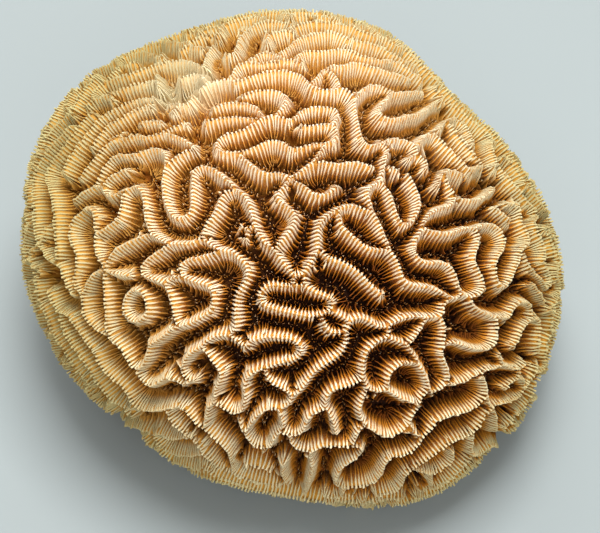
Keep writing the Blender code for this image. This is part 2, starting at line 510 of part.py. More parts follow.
def grown_ridges(field, points, normals, around):
    """Points on the ridge lines of a field, and the directions of the lines.

    A quadratic surface is fitted to the field round every point. A line passes where its slope
    across the strongest curvature vanishes close by.
    """
    count = len(points)
    ring = np.concatenate((around, around[around].reshape(count, -1)), axis=1)
    side = unit(np.cross(normals, (0.31, 0.52, 0.79)))
    other = np.cross(normals, side)
    offsets = points[ring] - points[:, None]
    x = np.einsum("ijk,ik->ij", offsets, side) / RIDGE_SPACING
    y = np.einsum("ijk,ik->ij", offsets, other) / RIDGE_SPACING
    terms = np.stack((np.ones_like(x), x, y, x * x, x * y, y * y), axis=2)
    square = np.einsum("ijk,ijl->ikl", terms, terms) + 1e-9 * np.eye(6)
    right = np.einsum("ijk,ij->ik", terms, field[ring])
    fit = np.linalg.solve(square, right[:, :, None])[:, :, 0]
    bends = np.empty((count, 2, 2))
    bends[:, 0, 0] = 2.0 * fit[:, 3]
    bends[:, 0, 1] = bends[:, 1, 0] = fit[:, 4]
    bends[:, 1, 1] = 2.0 * fit[:, 5]
    strength, directions = np.linalg.eigh(bends)
    bend = strength[:, 0]
    across = directions[:, :, 0]
    slope = fit[:, 1] * across[:, 0] + fit[:, 2] * across[:, 1]
    offset = -slope / np.where(bend < -1e-6, bend, -1e-6)
    spacing = np.sqrt(x[:, :6] ** 2 + y[:, :6] ** 2).mean(axis=1)
    drawn = (bend < -2.0) & (strength[:, 1] > 0.45 * bend)
    kept = drawn & (np.abs(offset) < 0.62 * spacing) & (fit[:, 0] > 0.02)
    move = (offset * across[:, 0])[:, None] * side + (offset * across[:, 1])[:, None] * other
    along = -across[:, 1][:, None] * side + across[:, 0][:, None] * other
    return (points + RIDGE_SPACING * move)[kept], along[kept]


def drawn_out(points, along, reach):
    """Points of a line, with more of them up to a reach away along the line to both sides."""
    shifts = np.arange(-reach, reach + 0.5 * LINE_STEP, LINE_STEP)
    drawn = points[:, None] + shifts[None, :, None] * along[:, None]
    return drawn.reshape(-1, 3), np.repeat(along, len(shifts), axis=0)


def valleys_between(ridges, swell):
    """Points midway between ridges on opposite sides, and the directions of the valleys there.

    Where the closest ridge changes along an edge of a fine net over the head, one place on the edge
    is as far from the one as from the other.
    """
    directions, faces = unit_ball(VALLEY_LEVEL)
    points = head_points(directions, swell)
    normals = outward(points, faces)
    tree = search_tree(ridges)
    closest = ridges[[tree.find(point)[1] for point in points]]
    pairs = np.concatenate((faces[:, (0, 1)], faces[:, (1, 2)], faces[:, (2, 0)]))
    start, end = pairs[pairs[:, 0] < pairs[:, 1]].T
    one, other = closest[start], closest[end]
    before, after = (((points[place] - one) ** 2).sum(axis=1) - ((points[place] - other) ** 2).sum(axis=1)
                     for place in (start, end))
    share = before / np.minimum(before - after, -1e-12)
    places = points[start] + share[:, None] * (points[end] - points[start])
    half = np.linalg.norm(one - places, axis=1)
    opposed = np.einsum("ij,ij->i", one - places, other - places) < -0.25 * half ** 2
    kept = opposed & (half > HALF_VALLEY)
    along = np.cross(normals[start[kept]], (one - other)[kept])
    return places[kept], unit(along), normals[start[kept]]


def line_distance(points, line, along):
    """Distance from every point to the nearest stretch of a line given by points and directions."""
    tree = search_tree(line)
    found = np.array([[hit[1] for hit in tree.find_n(point, 4)] for point in points])
    away = points[:, None] - line[found]
    run = np.einsum("ijk,ijk->ij", away, along[found])
    run = np.clip(run, -LINE_STEP, LINE_STEP)
    rest = np.linalg.norm(away - run[:, :, None] * along[found], axis=2)
    return rest.min(axis=1)


def valley_share(points, ridge_line, valley_line):
    """How far each point is from ridge top (0) to valley bottom (1), and the half width there."""
    to_ridge = line_distance(points, *ridge_line[:2])
    to_valley = line_distance(points, *valley_line[:2])
    return to_ridge / (to_ridge + to_valley), to_ridge + to_valley


def smooth_step(low, high, value):
    share = np.clip((value - low) / (high - low), 0.0, 1.0)
    return share * share * (3.0 - 2.0 * share)


def surface_depth(share, half_width):
    """Depth of the surface below the ridge tops, over ridge, wall and valley bottom."""
    full = VALLEY_DEPTH * np.clip(half_width / FULL_DEPTH_HALF_WIDTH, 0.35, 1.1)
    return full * smooth_step(-RIDGE_ROUNDING, 1.0, share) - full * smooth_step(-RIDGE_ROUNDING, 1.0, 0.0)


def outward(points, faces):
    """Unit normals of the surface at its points."""
    corners = points[faces]
    face_normals = np.cross(corners[:, 1] - corners[:, 0], corners[:, 2] - corners[:, 0])
    normals = np.zeros_like(points)
    for corner in range(3):
        np.add.at(normals, faces[:, corner], face_normals)
    return normals / np.linalg.norm(normals, axis=1)[:, None]


def find_lines():
    """The ridge lines and the valley lines of the whole head.

    A line is its points, their directions along it, and the outward normals there.
    """
    swell = fit_swell()
    directions, faces = unit_ball(GROWTH_LEVEL)
    points = head_points(directions, swell)
    normals = outward(points, faces)
    read, read_along = read_ridges(swell)
    field, around = grow_field(points, faces, read)
    grown, grown_along = grown_ridges(field, points, normals, around)
    tree = search_tree(read)
    clear = np.array([tree.find(point)[2] > READ_REACH for point in grown])
    grown, grown_along = drawn_out(grown[clear], grown_along[clear], 0.1 * RIDGE_SPACING)
    ridges = np.concatenate((read, grown))
    tree = search_tree(points)
    ridge_normals = normals[[tree.find(point)[1] for point in ridges]]
    ridge_line = (ridges, np.concatenate((read_along, grown_along)), ridge_normals)
    return ridge_line, valleys_between(ridges, swell)


def evenly_along(points, gap):
    """Indices of points about a gap apart, picked one after the other along the lines."""
    tree = search_tree(points)
    covered = np.zeros(len(points), bool)
    kept = []
    for start in range(len(points)):
        waiting = [(gap, start)]
        while waiting:
            index = heapq.heappop(waiting)[1]
            if covered[index]:
                continue
            kept.append(index)
            for _, other, away in tree.find_range(points[index], 2.0 * gap):
                if away < gap:
                    covered[other] = True
                elif not covered[other]:
                    heapq.heappush(waiting, (away, other))
    return kept


def turn_edges(head, points, ridge_line, valley_line):
    """Turn the edges that cross a ridge or a valley so that they run along it instead.

    The surface over an edge is judged at its middle: an edge is turned where the other diagonal of
    its two triangles misses the true depth there by less, if that one isn't much longer.
    """
    depth = surface_depth(*valley_share(points, ridge_line, valley_line))
    for _ in range(4):
        head.edges.ensure_lookup_table()
        sides = []
        for edge in head.edges:
            start, end = edge.verts
            other, last = (next(vert for vert in face.verts if vert not in edge.verts)
                           for face in edge.link_faces)
            sides.append((start.index, end.index, other.index, last.index))
        sides = np.array(sides)
        costs = []
        for pair in (sides[:, :2], sides[:, 2:]):
            middle = points[pair].mean(axis=1)
            true = surface_depth(*valley_share(middle, ridge_line, valley_line))
            length = np.linalg.norm(points[pair[:, 0]] - points[pair[:, 1]], axis=1)
            costs.append(np.abs(true - depth[pair].mean(axis=1)) + LONG_EDGE_COST * length)
        gain = costs[0] - costs[1]
        start, end, other, last = (points[sides[:, place]] for place in range(4))
        first = np.cross(last - other, start - other)
        second = np.cross(end - other, last - other)
        width = np.minimum(np.linalg.norm(first, axis=1), np.linalg.norm(second, axis=1)) / length
        gain[(np.einsum("ij,ij->i", first, second) <= 0.0) | (width < NARROWEST)] = 0.0
        touched = set()
        turned = []
        for index in np.argsort(-gain):
            edge = head.edges[index]
            if gain[index] < 0.0002:
                break
            if touched.isdisjoint(edge.link_faces):
                touched.update(edge.link_faces)
                turned.append(edge)
        for edge in turned:
            bmesh.utils.edge_rotate(edge, True)
    return depth


def build_head():
    """The whole head as one surface whose edges run along its ridges and valleys."""
    ridge_line, valley_line = find_lines()
    points, normals = [], []
    for line, gap in ((ridge_line, RIDGE_GAP), (valley_line, VALLEY_GAP)):
        kept = evenly_along(line[0], gap)
        points.append(line[0][kept])
        normals.append(line[2][kept])
    points = np.concatenate(points)
    normals = np.concatenate(normals)
    # The triangles are those of the hull of the same points on a ball, then moved to their places.
    ball = points / np.array((HALF_WIDTH, HALF_WIDTH, HALF_HEIGHT))
    ball /= np.linalg.norm(ball, axis=1)[:, None]
    head = bmesh.new()
    verts = [head.verts.new(point) for point in ball]
    head.verts.index_update()
    bmesh.ops.convex_hull(head, input=verts)
    depth = turn_edges(head, points, ridge_line, valley_line)
    surface = points - depth[:, None] * normals
    surface += np.array((BASE_SHIFT[0], BASE_SHIFT[1], CUT_BELOW_MIDDLE))
    for vert, point in zip(verts, surface):
        vert.co = point
    return head


def cut_flat(head):
    """Cut the head off at the base plane and close it with a flat face."""
    cut = bmesh.ops.bisect_plane(
        head, geom=head.verts[:] + head.edges[:] + head.faces[:], dist=0.0003,
        plane_co=(0.0, 0.0, 0.0), plane_no=(0.0, 0.0, 1.0), clear_inner=True)
    edges = [item for item in cut["geom_cut"] if isinstance(item, bmesh.types.BMEdge)]
    for vert in {vert for edge in edges for vert in edge.verts}:
        vert.co.z = 0.0
    bmesh.ops.contextual_create(head, geom=edges)
    bmesh.ops.dissolve_degenerate(head, dist=0.0003, edges=head.edges[:])
    bmesh.ops.delete(head, geom=[vert for vert in head.verts if not vert.link_faces], context="VERTS")
    bmesh.ops.triangulate(head, faces=head.faces[:])
    bmesh.ops.recalc_face_normals(head, faces=head.faces[:])


def coral_material():
    material = bpy.data.materials.new("coral_skeleton")
    material.use_nodes = True
    shader = material.node_tree.nodes["Principled BSDF"]
    shader.inputs["Base Color"].default_value = (0.56, 0.36, 0.17, 1.0)
    shader.inputs["Roughness"].default_value = 0.85
    shader.inputs["Metallic"].default_value = 0.0
    return material


def main():
    for item in list(bpy.data.objects):
        bpy.data.objects.remove(item)
    head = build_head()
    cut_flat(head)
    mesh = bpy.data.meshes.new("coral_skeleton")
    head.to_mesh(mesh)
    head.free()
    mesh.materials.append(coral_material())
    coral = bpy.data.objects.new("coral_skeleton", mesh)
    bpy.context.scene.collection.objects.link(coral)


main()
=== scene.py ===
"""Looks of a lesser star coral skeleton, laid out as a Blender add-on.

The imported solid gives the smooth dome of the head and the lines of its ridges. The valleys lie
midway between the ridges. On them this file grows what the naked skeleton shows: steep thin walls,
septa that cross every ridge and run down into the valleys, a spongy columella along the valley
bottoms, and the flat cut face. Lengths are in metres and +Z is up.
"""
import heapq
import math

import bmesh
import bpy
import numpy as np
from bpy.props import FloatProperty, FloatVectorProperty, PointerProperty
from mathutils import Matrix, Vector
from mathutils.geometry import tessellate_polygon
from mathutils.kdtree import KDTree


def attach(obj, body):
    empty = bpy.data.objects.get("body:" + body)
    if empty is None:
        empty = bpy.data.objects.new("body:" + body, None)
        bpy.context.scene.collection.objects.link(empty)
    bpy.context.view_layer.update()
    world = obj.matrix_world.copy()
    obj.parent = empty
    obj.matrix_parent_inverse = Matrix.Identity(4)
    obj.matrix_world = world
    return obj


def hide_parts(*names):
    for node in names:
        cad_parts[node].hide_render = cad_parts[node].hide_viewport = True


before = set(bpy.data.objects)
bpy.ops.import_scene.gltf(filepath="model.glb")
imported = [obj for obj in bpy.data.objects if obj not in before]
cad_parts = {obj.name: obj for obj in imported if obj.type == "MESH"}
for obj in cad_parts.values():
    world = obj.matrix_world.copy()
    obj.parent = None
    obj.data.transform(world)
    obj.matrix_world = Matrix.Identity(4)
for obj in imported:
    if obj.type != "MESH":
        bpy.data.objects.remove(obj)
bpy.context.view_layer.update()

bl_info = {
    "name": "Lesser Star Coral Skeleton",
    "version": (1, 0, 0),
    "blender": (4, 5, 0),
    "location": "3D Viewport > Sidebar > Coral",
    "description": "Grows walls, septa and columella on the solid of a star coral head",
    "category": "Add Mesh",
}

NODE = "coral_skeleton"

# The middle of the dome, and the distance under which two corners of the solid are one.
HEART = np.array((0.0, 0.0, 0.0300))
TOUCHING = 0.00002

# Depth of a valley with the full half width, and the least and the greatest share of it in others.
VALLEY_DEPTH = 0.0046
FULL_DEPTH_HALF_WIDTH = 0.0036
SHALLOW_SHARE = 0.35
DEEP_SHARE = 1.1
SHALLOWEST = SHALLOW_SHARE * VALLEY_DEPTH

# A corner of the solid is on a ridge where it lies less deep than this below the dome. In the cut
# face the limit is lower.
RIDGE_DEPTH = 0.85 * SHALLOWEST
RIDGE_DEPTH_IN_CUT = 0.5 * SHALLOWEST

# The smallest half width of a valley, and how squarely it has its two ridges on opposite sides.
HALF_VALLEY = 0.0009
OPPOSED = -0.25

# How far lines run on below the cut, under which height a line is taken to reach it, and how far
# beside a crest its ways down are told apart.
BELOW_CUT = 0.004
LOWEST_READ = 0.0005
BESIDE = 0.0009

# Fineness of the wall surface and of the ridge lines.
BALL_LEVEL = 8
LINE_ROUNDS = 4

# The dome's height is a mean over the nearest ridge tops, smoothed in rounds that keep a part of it
# and take the rest from the neighbours. A place on it is a mean over its nearest points. The
# distances keep the closest ones from counting alone.
TOPS_TAKEN = 6
TOPS_SOFTNESS = 0.002
DOME_ROUNDS = 40
DOME_KEPT = 0.3
DOME_MOVED = 0.7
PLACES_TAKEN = 3
PLACES_SOFTNESS = 0.0005

# Where the septa's edges and the walls start to fall, and where the septa have reached the bottom,
# from crest (0) to valley (1). The valleys' half widths are smoothed in rounds for the walls.
SEPTA_FALL = (-0.04, 0.84)
WALL_FALL_START = 0.02
HALF_ROUNDS = 4

# How far ahead the next of evenly spaced points is looked for, in spacings.
LOOK_AHEAD = 1.6

# The longest way down, and where the stations of a septum lie on the way from crest (0) to valley (1).
LONGEST = 0.009
STATIONS = np.array((0.0, 0.11, 0.24, 0.38, 0.54, 0.71, 0.89))

# A septum's way down sets off across the crest and bends on towards the valley: how far along the
# way the bend pulls, and how much of the way on is in its first direction, where the way starts at
# the crest point and where it is looked up.
BEND_PULL = 0.4
ONWARD_DIRECT = 2.0
ONWARD_LOOKED_UP = 0.5

# A way down starts at the crest point if it is found this near, as a share of BESIDE. One that is
# looked up has to lead away from the crest, and clear of the ridges half way down.
DIRECT_WITHIN = 0.75
LOOKED_UP_AT = 0.9 * FULL_DEPTH_HALF_WIDTH
LEAST_OUTWARD = 0.35
LEAST_CLEARANCE = 0.25

# The rounds that fill gaps between septa: the first station of the new ones, and how far down the
# gaps are looked for. The width says how far above or below that a place may be. A gap is this wide,
# and the new septa are this far apart, in spacings.
FILLING_ROUNDS = ((0, 0.11), (0, 0.38), (2, 0.60))
PROBE_WIDTH = 0.11
LOWEST_FILLED = -0.5 * BELOW_CUT
GAP = 0.75
FILLING_SPACING = 0.95

# A septum's foot in the wall, how its thickness varies from one to the next and shrinks on the way
# down, the greatest share of the room between septa that it fills, how much narrower its edge is,
# and the angle from which its corners are sharp.
FOOT_IN_WALL = 0.0004
THICKNESS_RANGE = (0.85, 1.15)
THICK_AT_CREST = 1.12
THINNER_BELOW = 0.70
THINNING = (0.1, 0.7)
MOST_OF_ROOM = 0.62
EDGE_SHARE = 0.85
SHARP_ANGLE = math.radians(40.0)

# Grains of the columella: how far they stray, their foot in the floor, how their sizes and heights
# vary, the width of their tips, and their values for the material.
GRAIN_STRAY = 0.00035
GRAIN_FOOT = 0.0003
GRAIN_SIZES = (0.6, 1.3)
GRAIN_CORNERS = (0.7, 1.3)
GRAIN_TOPS = (-0.2, 0.65)
GRAIN_TIP = 0.3
TIP_HEIGHTS = (0.2, 0.9)
TIP_EDGES = (0.4, 1.0)
# Grains sit low on the colour ramps, so they take the dark of the valley bottoms, which is painted shade.
GRAIN_HEIGHT = 0.15
GRAIN_EDGE = 0.3

RANDOM_SEED = 7

# The line of sight of the photograph: the size of a pixel at the head, the distance and the height
# of the eye, the middle of the picture and of the head in it, and where that is on the base.
PIXEL = 0.00027
SIGHT_DISTANCE = 0.45
SIGHT_ELEVATION = math.radians(50.0)
PICTURE_WIDTH = 600
PICTURE_MIDDLE = (300.0, 266.5)
HEAD_MIDDLE = (293.0, 262.0)
BASE_SHIFT = (0.00036, -0.00195)

# The worn patch: its direction from the heart, as right, up and near in the picture, its reach in
# radians, and the share of it that is worn throughout.
WORN_PLACE = (-0.44, 0.71, 0.56)
WORN_REACH = 0.26
WORN_THROUGHOUT = 0.3

# Brown stain with painted shade in the valleys, and bleaching with painted light on the crests: a
# base, what is added towards the right, the top and the viewer of the picture, and the limits. The
# painted shade makes the valleys darker towards the right, the bottom and the viewer of the picture,
# and the painted light makes the crests paler towards the top and the viewer. Bleaching and painted
# light are lost towards both sides, as painted shade.
STAIN_AND_SHADE_BASE = -0.12
STAIN_AND_SHADE_TOWARDS = (0.75, -0.60, 1.14)
STAIN_AND_SHADE_RANGE = (0.12, 1.35)
BLEACH_AND_LIGHT_BASE = 0.12
BLEACH_AND_LIGHT_TOWARDS = (0.15, 0.20, 1.0)
BLEACH_AND_LIGHT_LOST_ASIDE = 0.45
BLEACH_AND_LIGHT_RANGE = (0.20, 1.0)

# Heights from valley (0) to crest (1) at which the walls have the colours of their ramps, and
# between which the colours of the septa's edges change. The ramps darken downwards to nearly black
# bottoms, partly as painted shade in the valleys.
STAINED_AND_SHADED_PLACES = (0.0, 0.39, 0.63, 0.82, 1.0)
FRESH_AND_LESS_SHADED_PLACES = (0.0, 0.22, 0.55, 0.85, 1.0)
SUNKEN_TO_STAINED_AND_SHADED = (0.08, 0.36)
LOWER_TO_MARGIN = (0.34, 0.56)
MARGIN_TO_CREST = (0.42, 0.60)

# The painted shade in the gaps between septa on a crest and at the bottoms of less stained valleys,
# as shares of their walls' colours, the height that worn places have at least, how much stain and
# painted shade beyond 1 lower the colours, how sharply an edge begins, and how much a worn place
# counts as an edge.
GAP_SHADE = 0.75
DEEP_SHADE = 0.45
WORN_HEIGHT = 0.62
STAIN_AND_SHADE_LOWERS = 0.5
EDGE_SHARPNESS = 1.8
WORN_EDGE = 0.6

# Tints that darken the colours: in patches, from septum to septum, and as a greenish painted shade
# and reflection at the sides, where the crests are neither bleached nor painted in light; how far the
# first two go, and how far speckles make the edges' rims uneven.
PATCH_TINT = (0.93, 0.76, 0.52)
SHADE_TINT = (0.72, 0.60, 0.46)
SIDE_SHADE_AND_REFLECTION_TINT = (0.70, 0.76, 0.62)
MOST_PATCH = 0.35
MOST_SHADE = 0.30
SPECKLE = 0.22

# Scales of the noises in bumps to the metre, the part of each noise's range that is used, and the
# heights of the bumps.
SPECKLE_SCALE = 2600.0
PATCH_SCALE = 110.0
PORE_SCALE = 900.0
BAND_SCALE = 60.0
CORAL_BUMP_SCALE = 3800.0
CUT_BUMP_SCALE = 2500.0
NOISE_RANGE = (0.3, 0.7)
PATCH_NOISE = (0.40, 0.66)
PORE_NOISE = (0.42, 0.60)
MOST_BAND = 0.5
CORAL_BUMP = 0.00012
CUT_BUMP = 0.0002
BUMP_STRENGTH = 0.5
ROUGHNESS_RANGE = (0.66, 0.94)
DULL_SPECULAR = 0.1

# Floor: half its side, how much its patches darken it, their scale, and its roughness.
FLOOR_HALF = 3.0
FLOOR_SHADE = 0.96
FLOOR_SCALE = 6.0
FLOOR_ROUGHNESS = 0.8

# Lamps: name, place, side length, and share of the key light's power. All point at one place. The
# light from all round is nearly white.
LAMPS = (
    ("key", (0.06, 0.04, 0.80), 0.40, 1.0),
    ("front", (0.10, -0.75, 0.45), 0.80, 0.60),
    ("back", (-0.20, 0.80, 0.40), 0.80, 0.70),
)
LAMPS_AIM = (0.0, 0.0, 0.04)
STUDIO_WHITE = (1.0, 0.99, 0.97, 1.0)

# Width of the camera's sensor in millimetres, and the nearest that the camera sees.
SENSOR_WIDTH = 36.0
NEAREST_SEEN = 0.01


def search_tree(points):
    """A tree that finds the points near a place."""
    tree = KDTree(len(points))
    for index, point in enumerate(points):
        tree.insert(point, index)
    tree.balance()
    return tree


def nearest(tree, points):
    """Index of the tree's nearest point to each point, and the distance."""
    found = [tree.find(point) for point in points]
    return np.array([hit[1] for hit in found]), np.array([hit[2] for hit in found])


def nearest_few(tree, points, count):
    """Indices of the tree's nearest few points to each point, and the distances."""
    near = [tree.find_n(point, count) for point in points]
    return (np.array([[hit[1] for hit in hits] for hits in near]),
            np.array([[hit[2] for hit in hits] for hits in near]))


def unit(vectors):
    """The vectors at length 1."""
    return vectors / np.maximum(np.linalg.norm(vectors, axis=-1, keepdims=True), 1e-12)


def smooth_step(low, high, value):
    """0 up to the low end, 1 from the high end on, and a smooth rise between them."""
    share = np.clip((value - low) / (high - low), 0.0, 1.0)
    return share * share * (3.0 - 2.0 * share)


def neighbour_mean(values, edges):
    """Mean of each point's neighbours along the edges."""
    flat = values.reshape(len(values), -1)
    total = np.zeros_like(flat)
    count = np.zeros(len(flat))
    for start, end in ((0, 1), (1, 0)):
        np.add.at(total, edges[:, start], flat[edges[:, end]])
        np.add.at(count, edges[:, start], 1.0)
    return (total / np.maximum(count, 1.0)[:, None]).reshape(values.shape)


def edges_of(faces):
    """The edges of triangles, each once."""
    pairs = np.concatenate((faces[:, :2], faces[:, 1:], faces[:, ::2]))
    return np.unique(np.sort(pairs, axis=1), axis=0)


def outward(points, faces):
    """Unit normals of a surface at its points."""
    corners = points[faces]
    face_normals = np.cross(corners[:, 1] - corners[:, 0], corners[:, 2] - corners[:, 0])
    normals = np.zeros_like(points)
    for corner in range(3):
        np.add.at(normals, faces[:, corner], face_normals)
    return unit(normals)


class Head:
    """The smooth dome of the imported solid, with the lines of its ridges and valleys."""

    def __init__(self):
        points, edges, triangles = self.read_solid()
        directions, self.faces = self.ball()
        self.pairs = edges_of(self.faces)
        reach = np.linalg.norm(points - HEART, axis=1)
        high = reach > neighbour_mean(neighbour_mean(reach, edges), edges)
        self.raise_dome(directions, points, reach, high)
        on_dome, _ = self.lay(points)
        depth = np.linalg.norm(on_dome - points, axis=1)
        high = depth < np.where(points[:, 2] < TOUCHING, RIDGE_DEPTH_IN_CUT, RIDGE_DEPTH)
        edges = edges[high[edges].all(axis=1)]
        edges = self.without_longest(on_dome, edges, triangles[high[triangles].all(axis=1)])
        self.ridges, self.ridge_ways = self.fine_line(*self.run_on(on_dome, edges))
        self.ridge_tree = search_tree(self.ridges)
        self.find_valleys()
        self.valley_tree = search_tree(self.valleys)
        self.way_tree = search_tree(self.feet + BESIDE * unit(self.ends - self.feet))

    def read_solid(self):
        """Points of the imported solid, its triangles, and its edges that don't lie in the cut face."""
        joined = bmesh.new()
        joined.from_mesh(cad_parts[NODE].data)
        bmesh.ops.remove_doubles(joined, verts=joined.verts[:], dist=TOUCHING)
        points = np.array([vert.co for vert in joined.verts])
        bmesh.ops.triangulate(joined, faces=joined.faces[:])
        triangles = np.array([[vert.index for vert in face.verts] for face in joined.faces])
        joined.free()
        edges = edges_of(triangles)
        return points, edges[(points[edges][:, :, 2] > TOUCHING).any(axis=1)], triangles

    def ball(self):
        """Directions spread evenly over a ball, and the triangles between them."""
        ball = bmesh.new()
        bmesh.ops.create_icosphere(ball, subdivisions=BALL_LEVEL, radius=1.0)
        directions = unit(np.array([vert.co for vert in ball.verts]))
        faces = np.array([[vert.index for vert in face.verts] for face in ball.faces])
        ball.free()
        return directions, faces

    def raise_dome(self, directions, points, reach, high):
        """Stretch a smooth dome over the ridge tops."""
        tops = unit(points[high] - HEART)
        tree = search_tree(tops)
        found, away = nearest_few(tree, directions, TOPS_TAKEN)
        weight = 1.0 / (away + TOPS_SOFTNESS)
        dome = (reach[high][found] * weight).sum(axis=1) / weight.sum(axis=1)
        for _ in range(DOME_ROUNDS):
            dome = DOME_KEPT * dome + DOME_MOVED * neighbour_mean(dome, self.pairs)
        self.dome = HEART + directions * dome[:, None]
        self.normals = outward(self.dome, self.faces)
        self.reach = dome
        self.direction_tree = search_tree(directions)

    def lay(self, points):
        """Each point moved in or out onto the dome, and the dome's normal there."""
        directions = unit(points.reshape(-1, 3) - HEART)
        found, away = nearest_few(self.direction_tree, directions, PLACES_TAKEN)
        weight = 1.0 / (away + PLACES_SOFTNESS)
        weight = (weight / weight.sum(axis=1)[:, None])[:, :, None]
        reach = (self.reach[found][:, :, None] * weight).sum(axis=1)
        normals = unit((self.normals[found] * weight).sum(axis=1))
        return (HEART + directions * reach).reshape(points.shape), normals.reshape(points.shape)

    def without_longest(self, points, edges, triangles):
        """The edges without the longest side of each triangle, so that lines meet and don't form a net."""
        triangles = np.sort(triangles, axis=1)
        sides = triangles[:, ((0, 1), (1, 2), (0, 2))]
        length = np.linalg.norm(points[sides[:, :, 0]] - points[sides[:, :, 1]], axis=2)
        longest = sides[np.arange(len(sides)), length.argmax(axis=1)]
        count = len(points)
        return edges[~np.isin(edges[:, 0] * count + edges[:, 1], longest[:, 0] * count + longest[:, 1])]

    def run_on(self, points, edges):
        """The points that the edges use and the edges, with each line that ends at the cut run on."""
        used, edges = np.unique(edges, return_inverse=True)
        edges = edges.reshape(-1, 2)
        points = points[used]
        low = points[:, 2] < LOWEST_READ
        crossing = edges[low[edges].sum(axis=1) == 1]
        crossing = np.where(low[crossing[:, :1]], crossing, crossing[:, ::-1])
        ends, before = points[crossing[:, 0]], points[crossing[:, 1]]
        new = len(points) + np.arange(len(crossing))
        return (np.concatenate((points, ends + BELOW_CUT * unit(ends - before))),
                np.concatenate((edges, np.stack((crossing[:, 0], new), axis=1))))

    def fine_line(self, points, edges):
        """Closely spaced points along the edges, and the line's direction at each."""
        for _ in range(LINE_ROUNDS):
            middle = len(points) + np.arange(len(edges))
            points = np.concatenate((points, points[edges].mean(axis=1)))
            edges = np.concatenate((np.stack((edges[:, 0], middle), axis=1),
                                    np.stack((middle, edges[:, 1]), axis=1)))
            inner = np.bincount(edges.ravel(), minlength=len(points)) > 1
            points[inner] = 0.5 * (points + neighbour_mean(points, edges))[inner]
        points, _ = self.lay(points)
        spans = unit(points[edges[:, 1]] - points[edges[:, 0]])
        spread = np.zeros((len(points), 3, 3))
        for end in (0, 1):
            np.add.at(spread, edges[:, end], spans[:, :, None] * spans[:, None])
        return points, np.linalg.eigh(spread)[1][:, :, 2]

    def find_valleys(self):
        """Valley points midway between ridges, and the ways down to them from the ridges' feet.

        Where the closest ridge changes along an edge of the dome's net, one place on the edge is as
        far from the one as from the other.
        """
        found, _ = nearest(self.ridge_tree, self.dome)
        start, end = self.pairs.T
        one, other = self.ridges[found[start]], self.ridges[found[end]]
        before, after = (((self.dome[place] - one) ** 2).sum(axis=1)
                         - ((self.dome[place] - other) ** 2).sum(axis=1) for place in (start, end))
        share = before / np.minimum(before - after, -1e-12)
        places = self.dome[start] + share[:, None] * (self.dome[end] - self.dome[start])
        half = np.linalg.norm(one - places, axis=1)
        opposed = np.einsum("ij,ij->i", one - places, other - places) < OPPOSED * half ** 2
        kept = opposed & (half > HALF_VALLEY) & (places[:, 2] > -BELOW_CUT)
        self.valleys, self.valley_halves = places[kept], half[kept]
        self.feet = np.concatenate((one[kept], other[kept]))
        self.ends = np.concatenate((places[kept], places[kept]))
        self.end_halves = np.concatenate((half[kept], half[kept]))

    def share(self, points):
        """How far points are from ridge (0) to valley (1), and the valley's half width there."""
        _, to_ridge = nearest(self.ridge_tree, points)
        _, to_valley = nearest(self.valley_tree, points)
        half = to_ridge + to_valley
        return to_ridge / half, half


GROWN = {}


def head():
    """The head's dome and lines, worked out once."""
    if "head" not in GROWN:
        GROWN["head"] = Head()
    return GROWN["head"]


def full_depth(half_width):
    """Depth of the septa's edges at a valley's bottom, which is less in a narrow valley."""
    return VALLEY_DEPTH * np.clip(half_width / FULL_DEPTH_HALF_WIDTH, SHALLOW_SHARE, DEEP_SHARE)


def way_down(share, half_width):
    """How far down the wall a place is (0 to 1): in a wide valley the wall ends before the middle."""
    return np.minimum(share * np.maximum(half_width / FULL_DEPTH_HALF_WIDTH, 1.0), 1.0)


def septa_depth(down, half_width):
    """Depth of the septa's upper edges below the dome."""
    return full_depth(half_width) * smooth_step(*SEPTA_FALL, down)


def wall_depth(down, half_width, walls):
    """Depth of the wall between the septa."""
    fall = smooth_step(WALL_FALL_START, walls.foot, down)
    return walls.crest_gap + (full_depth(half_width) + walls.floor_below) * fall


def sight_axes():
    """Directions to the right, up in the picture, and from the head to the viewer."""
    sine, cosine = math.sin(SIGHT_ELEVATION), math.cos(SIGHT_ELEVATION)
    return np.array((1.0, 0.0, 0.0)), np.array((0.0, sine, cosine)), np.array((0.0, -cosine, sine))


def new_piece(name, points, faces, values, material):
    """A mesh object made of arrays, with a number at each point for each named value."""
    mesh = bpy.data.meshes.new(name)
    mesh.vertices.add(len(points))
    mesh.vertices.foreach_set("co", points.astype(np.float32).ravel())
    mesh.loops.add(faces.size)
    mesh.loops.foreach_set("vertex_index", faces.astype(np.int32).ravel())
    mesh.polygons.add(len(faces))
    mesh.polygons.foreach_set("loop_start", np.arange(0, faces.size, faces.shape[1], dtype=np.int32))
    mesh.update(calc_edges=True)
    for key, numbers in values.items():
        attribute = mesh.attributes.new(key, "FLOAT", "POINT")
        attribute.data.foreach_set("value", numbers.astype(np.float32).ravel())
    mesh.validate()
    mesh.shade_smooth()
    mesh.materials.append(material)
    piece = bpy.data.objects.new(name, mesh)
    bpy.context.scene.collection.objects.link(piece)
    return piece


def chains(edges):
    """The points of joined edges in order: one list for each line, and whether it is closed."""
    waiting = set(edges)
    ends = [vert for edge in edges for vert in edge.verts
            if sum(other in waiting for other in vert.link_edges) == 1]
    starts = ends + [edge.verts[0] for edge in edges]
    for start in starts:
        line = [start]
        while True:
            onward = [edge for edge in line[-1].link_edges if edge in waiting]
            if not onward:
                break
            waiting.discard(onward[0])
            line.append(onward[0].other_vert(line[-1]))
        if len(line) > 1:
            closed = line[-1] is line[0]
            yield (line[:-1] if closed else line), closed


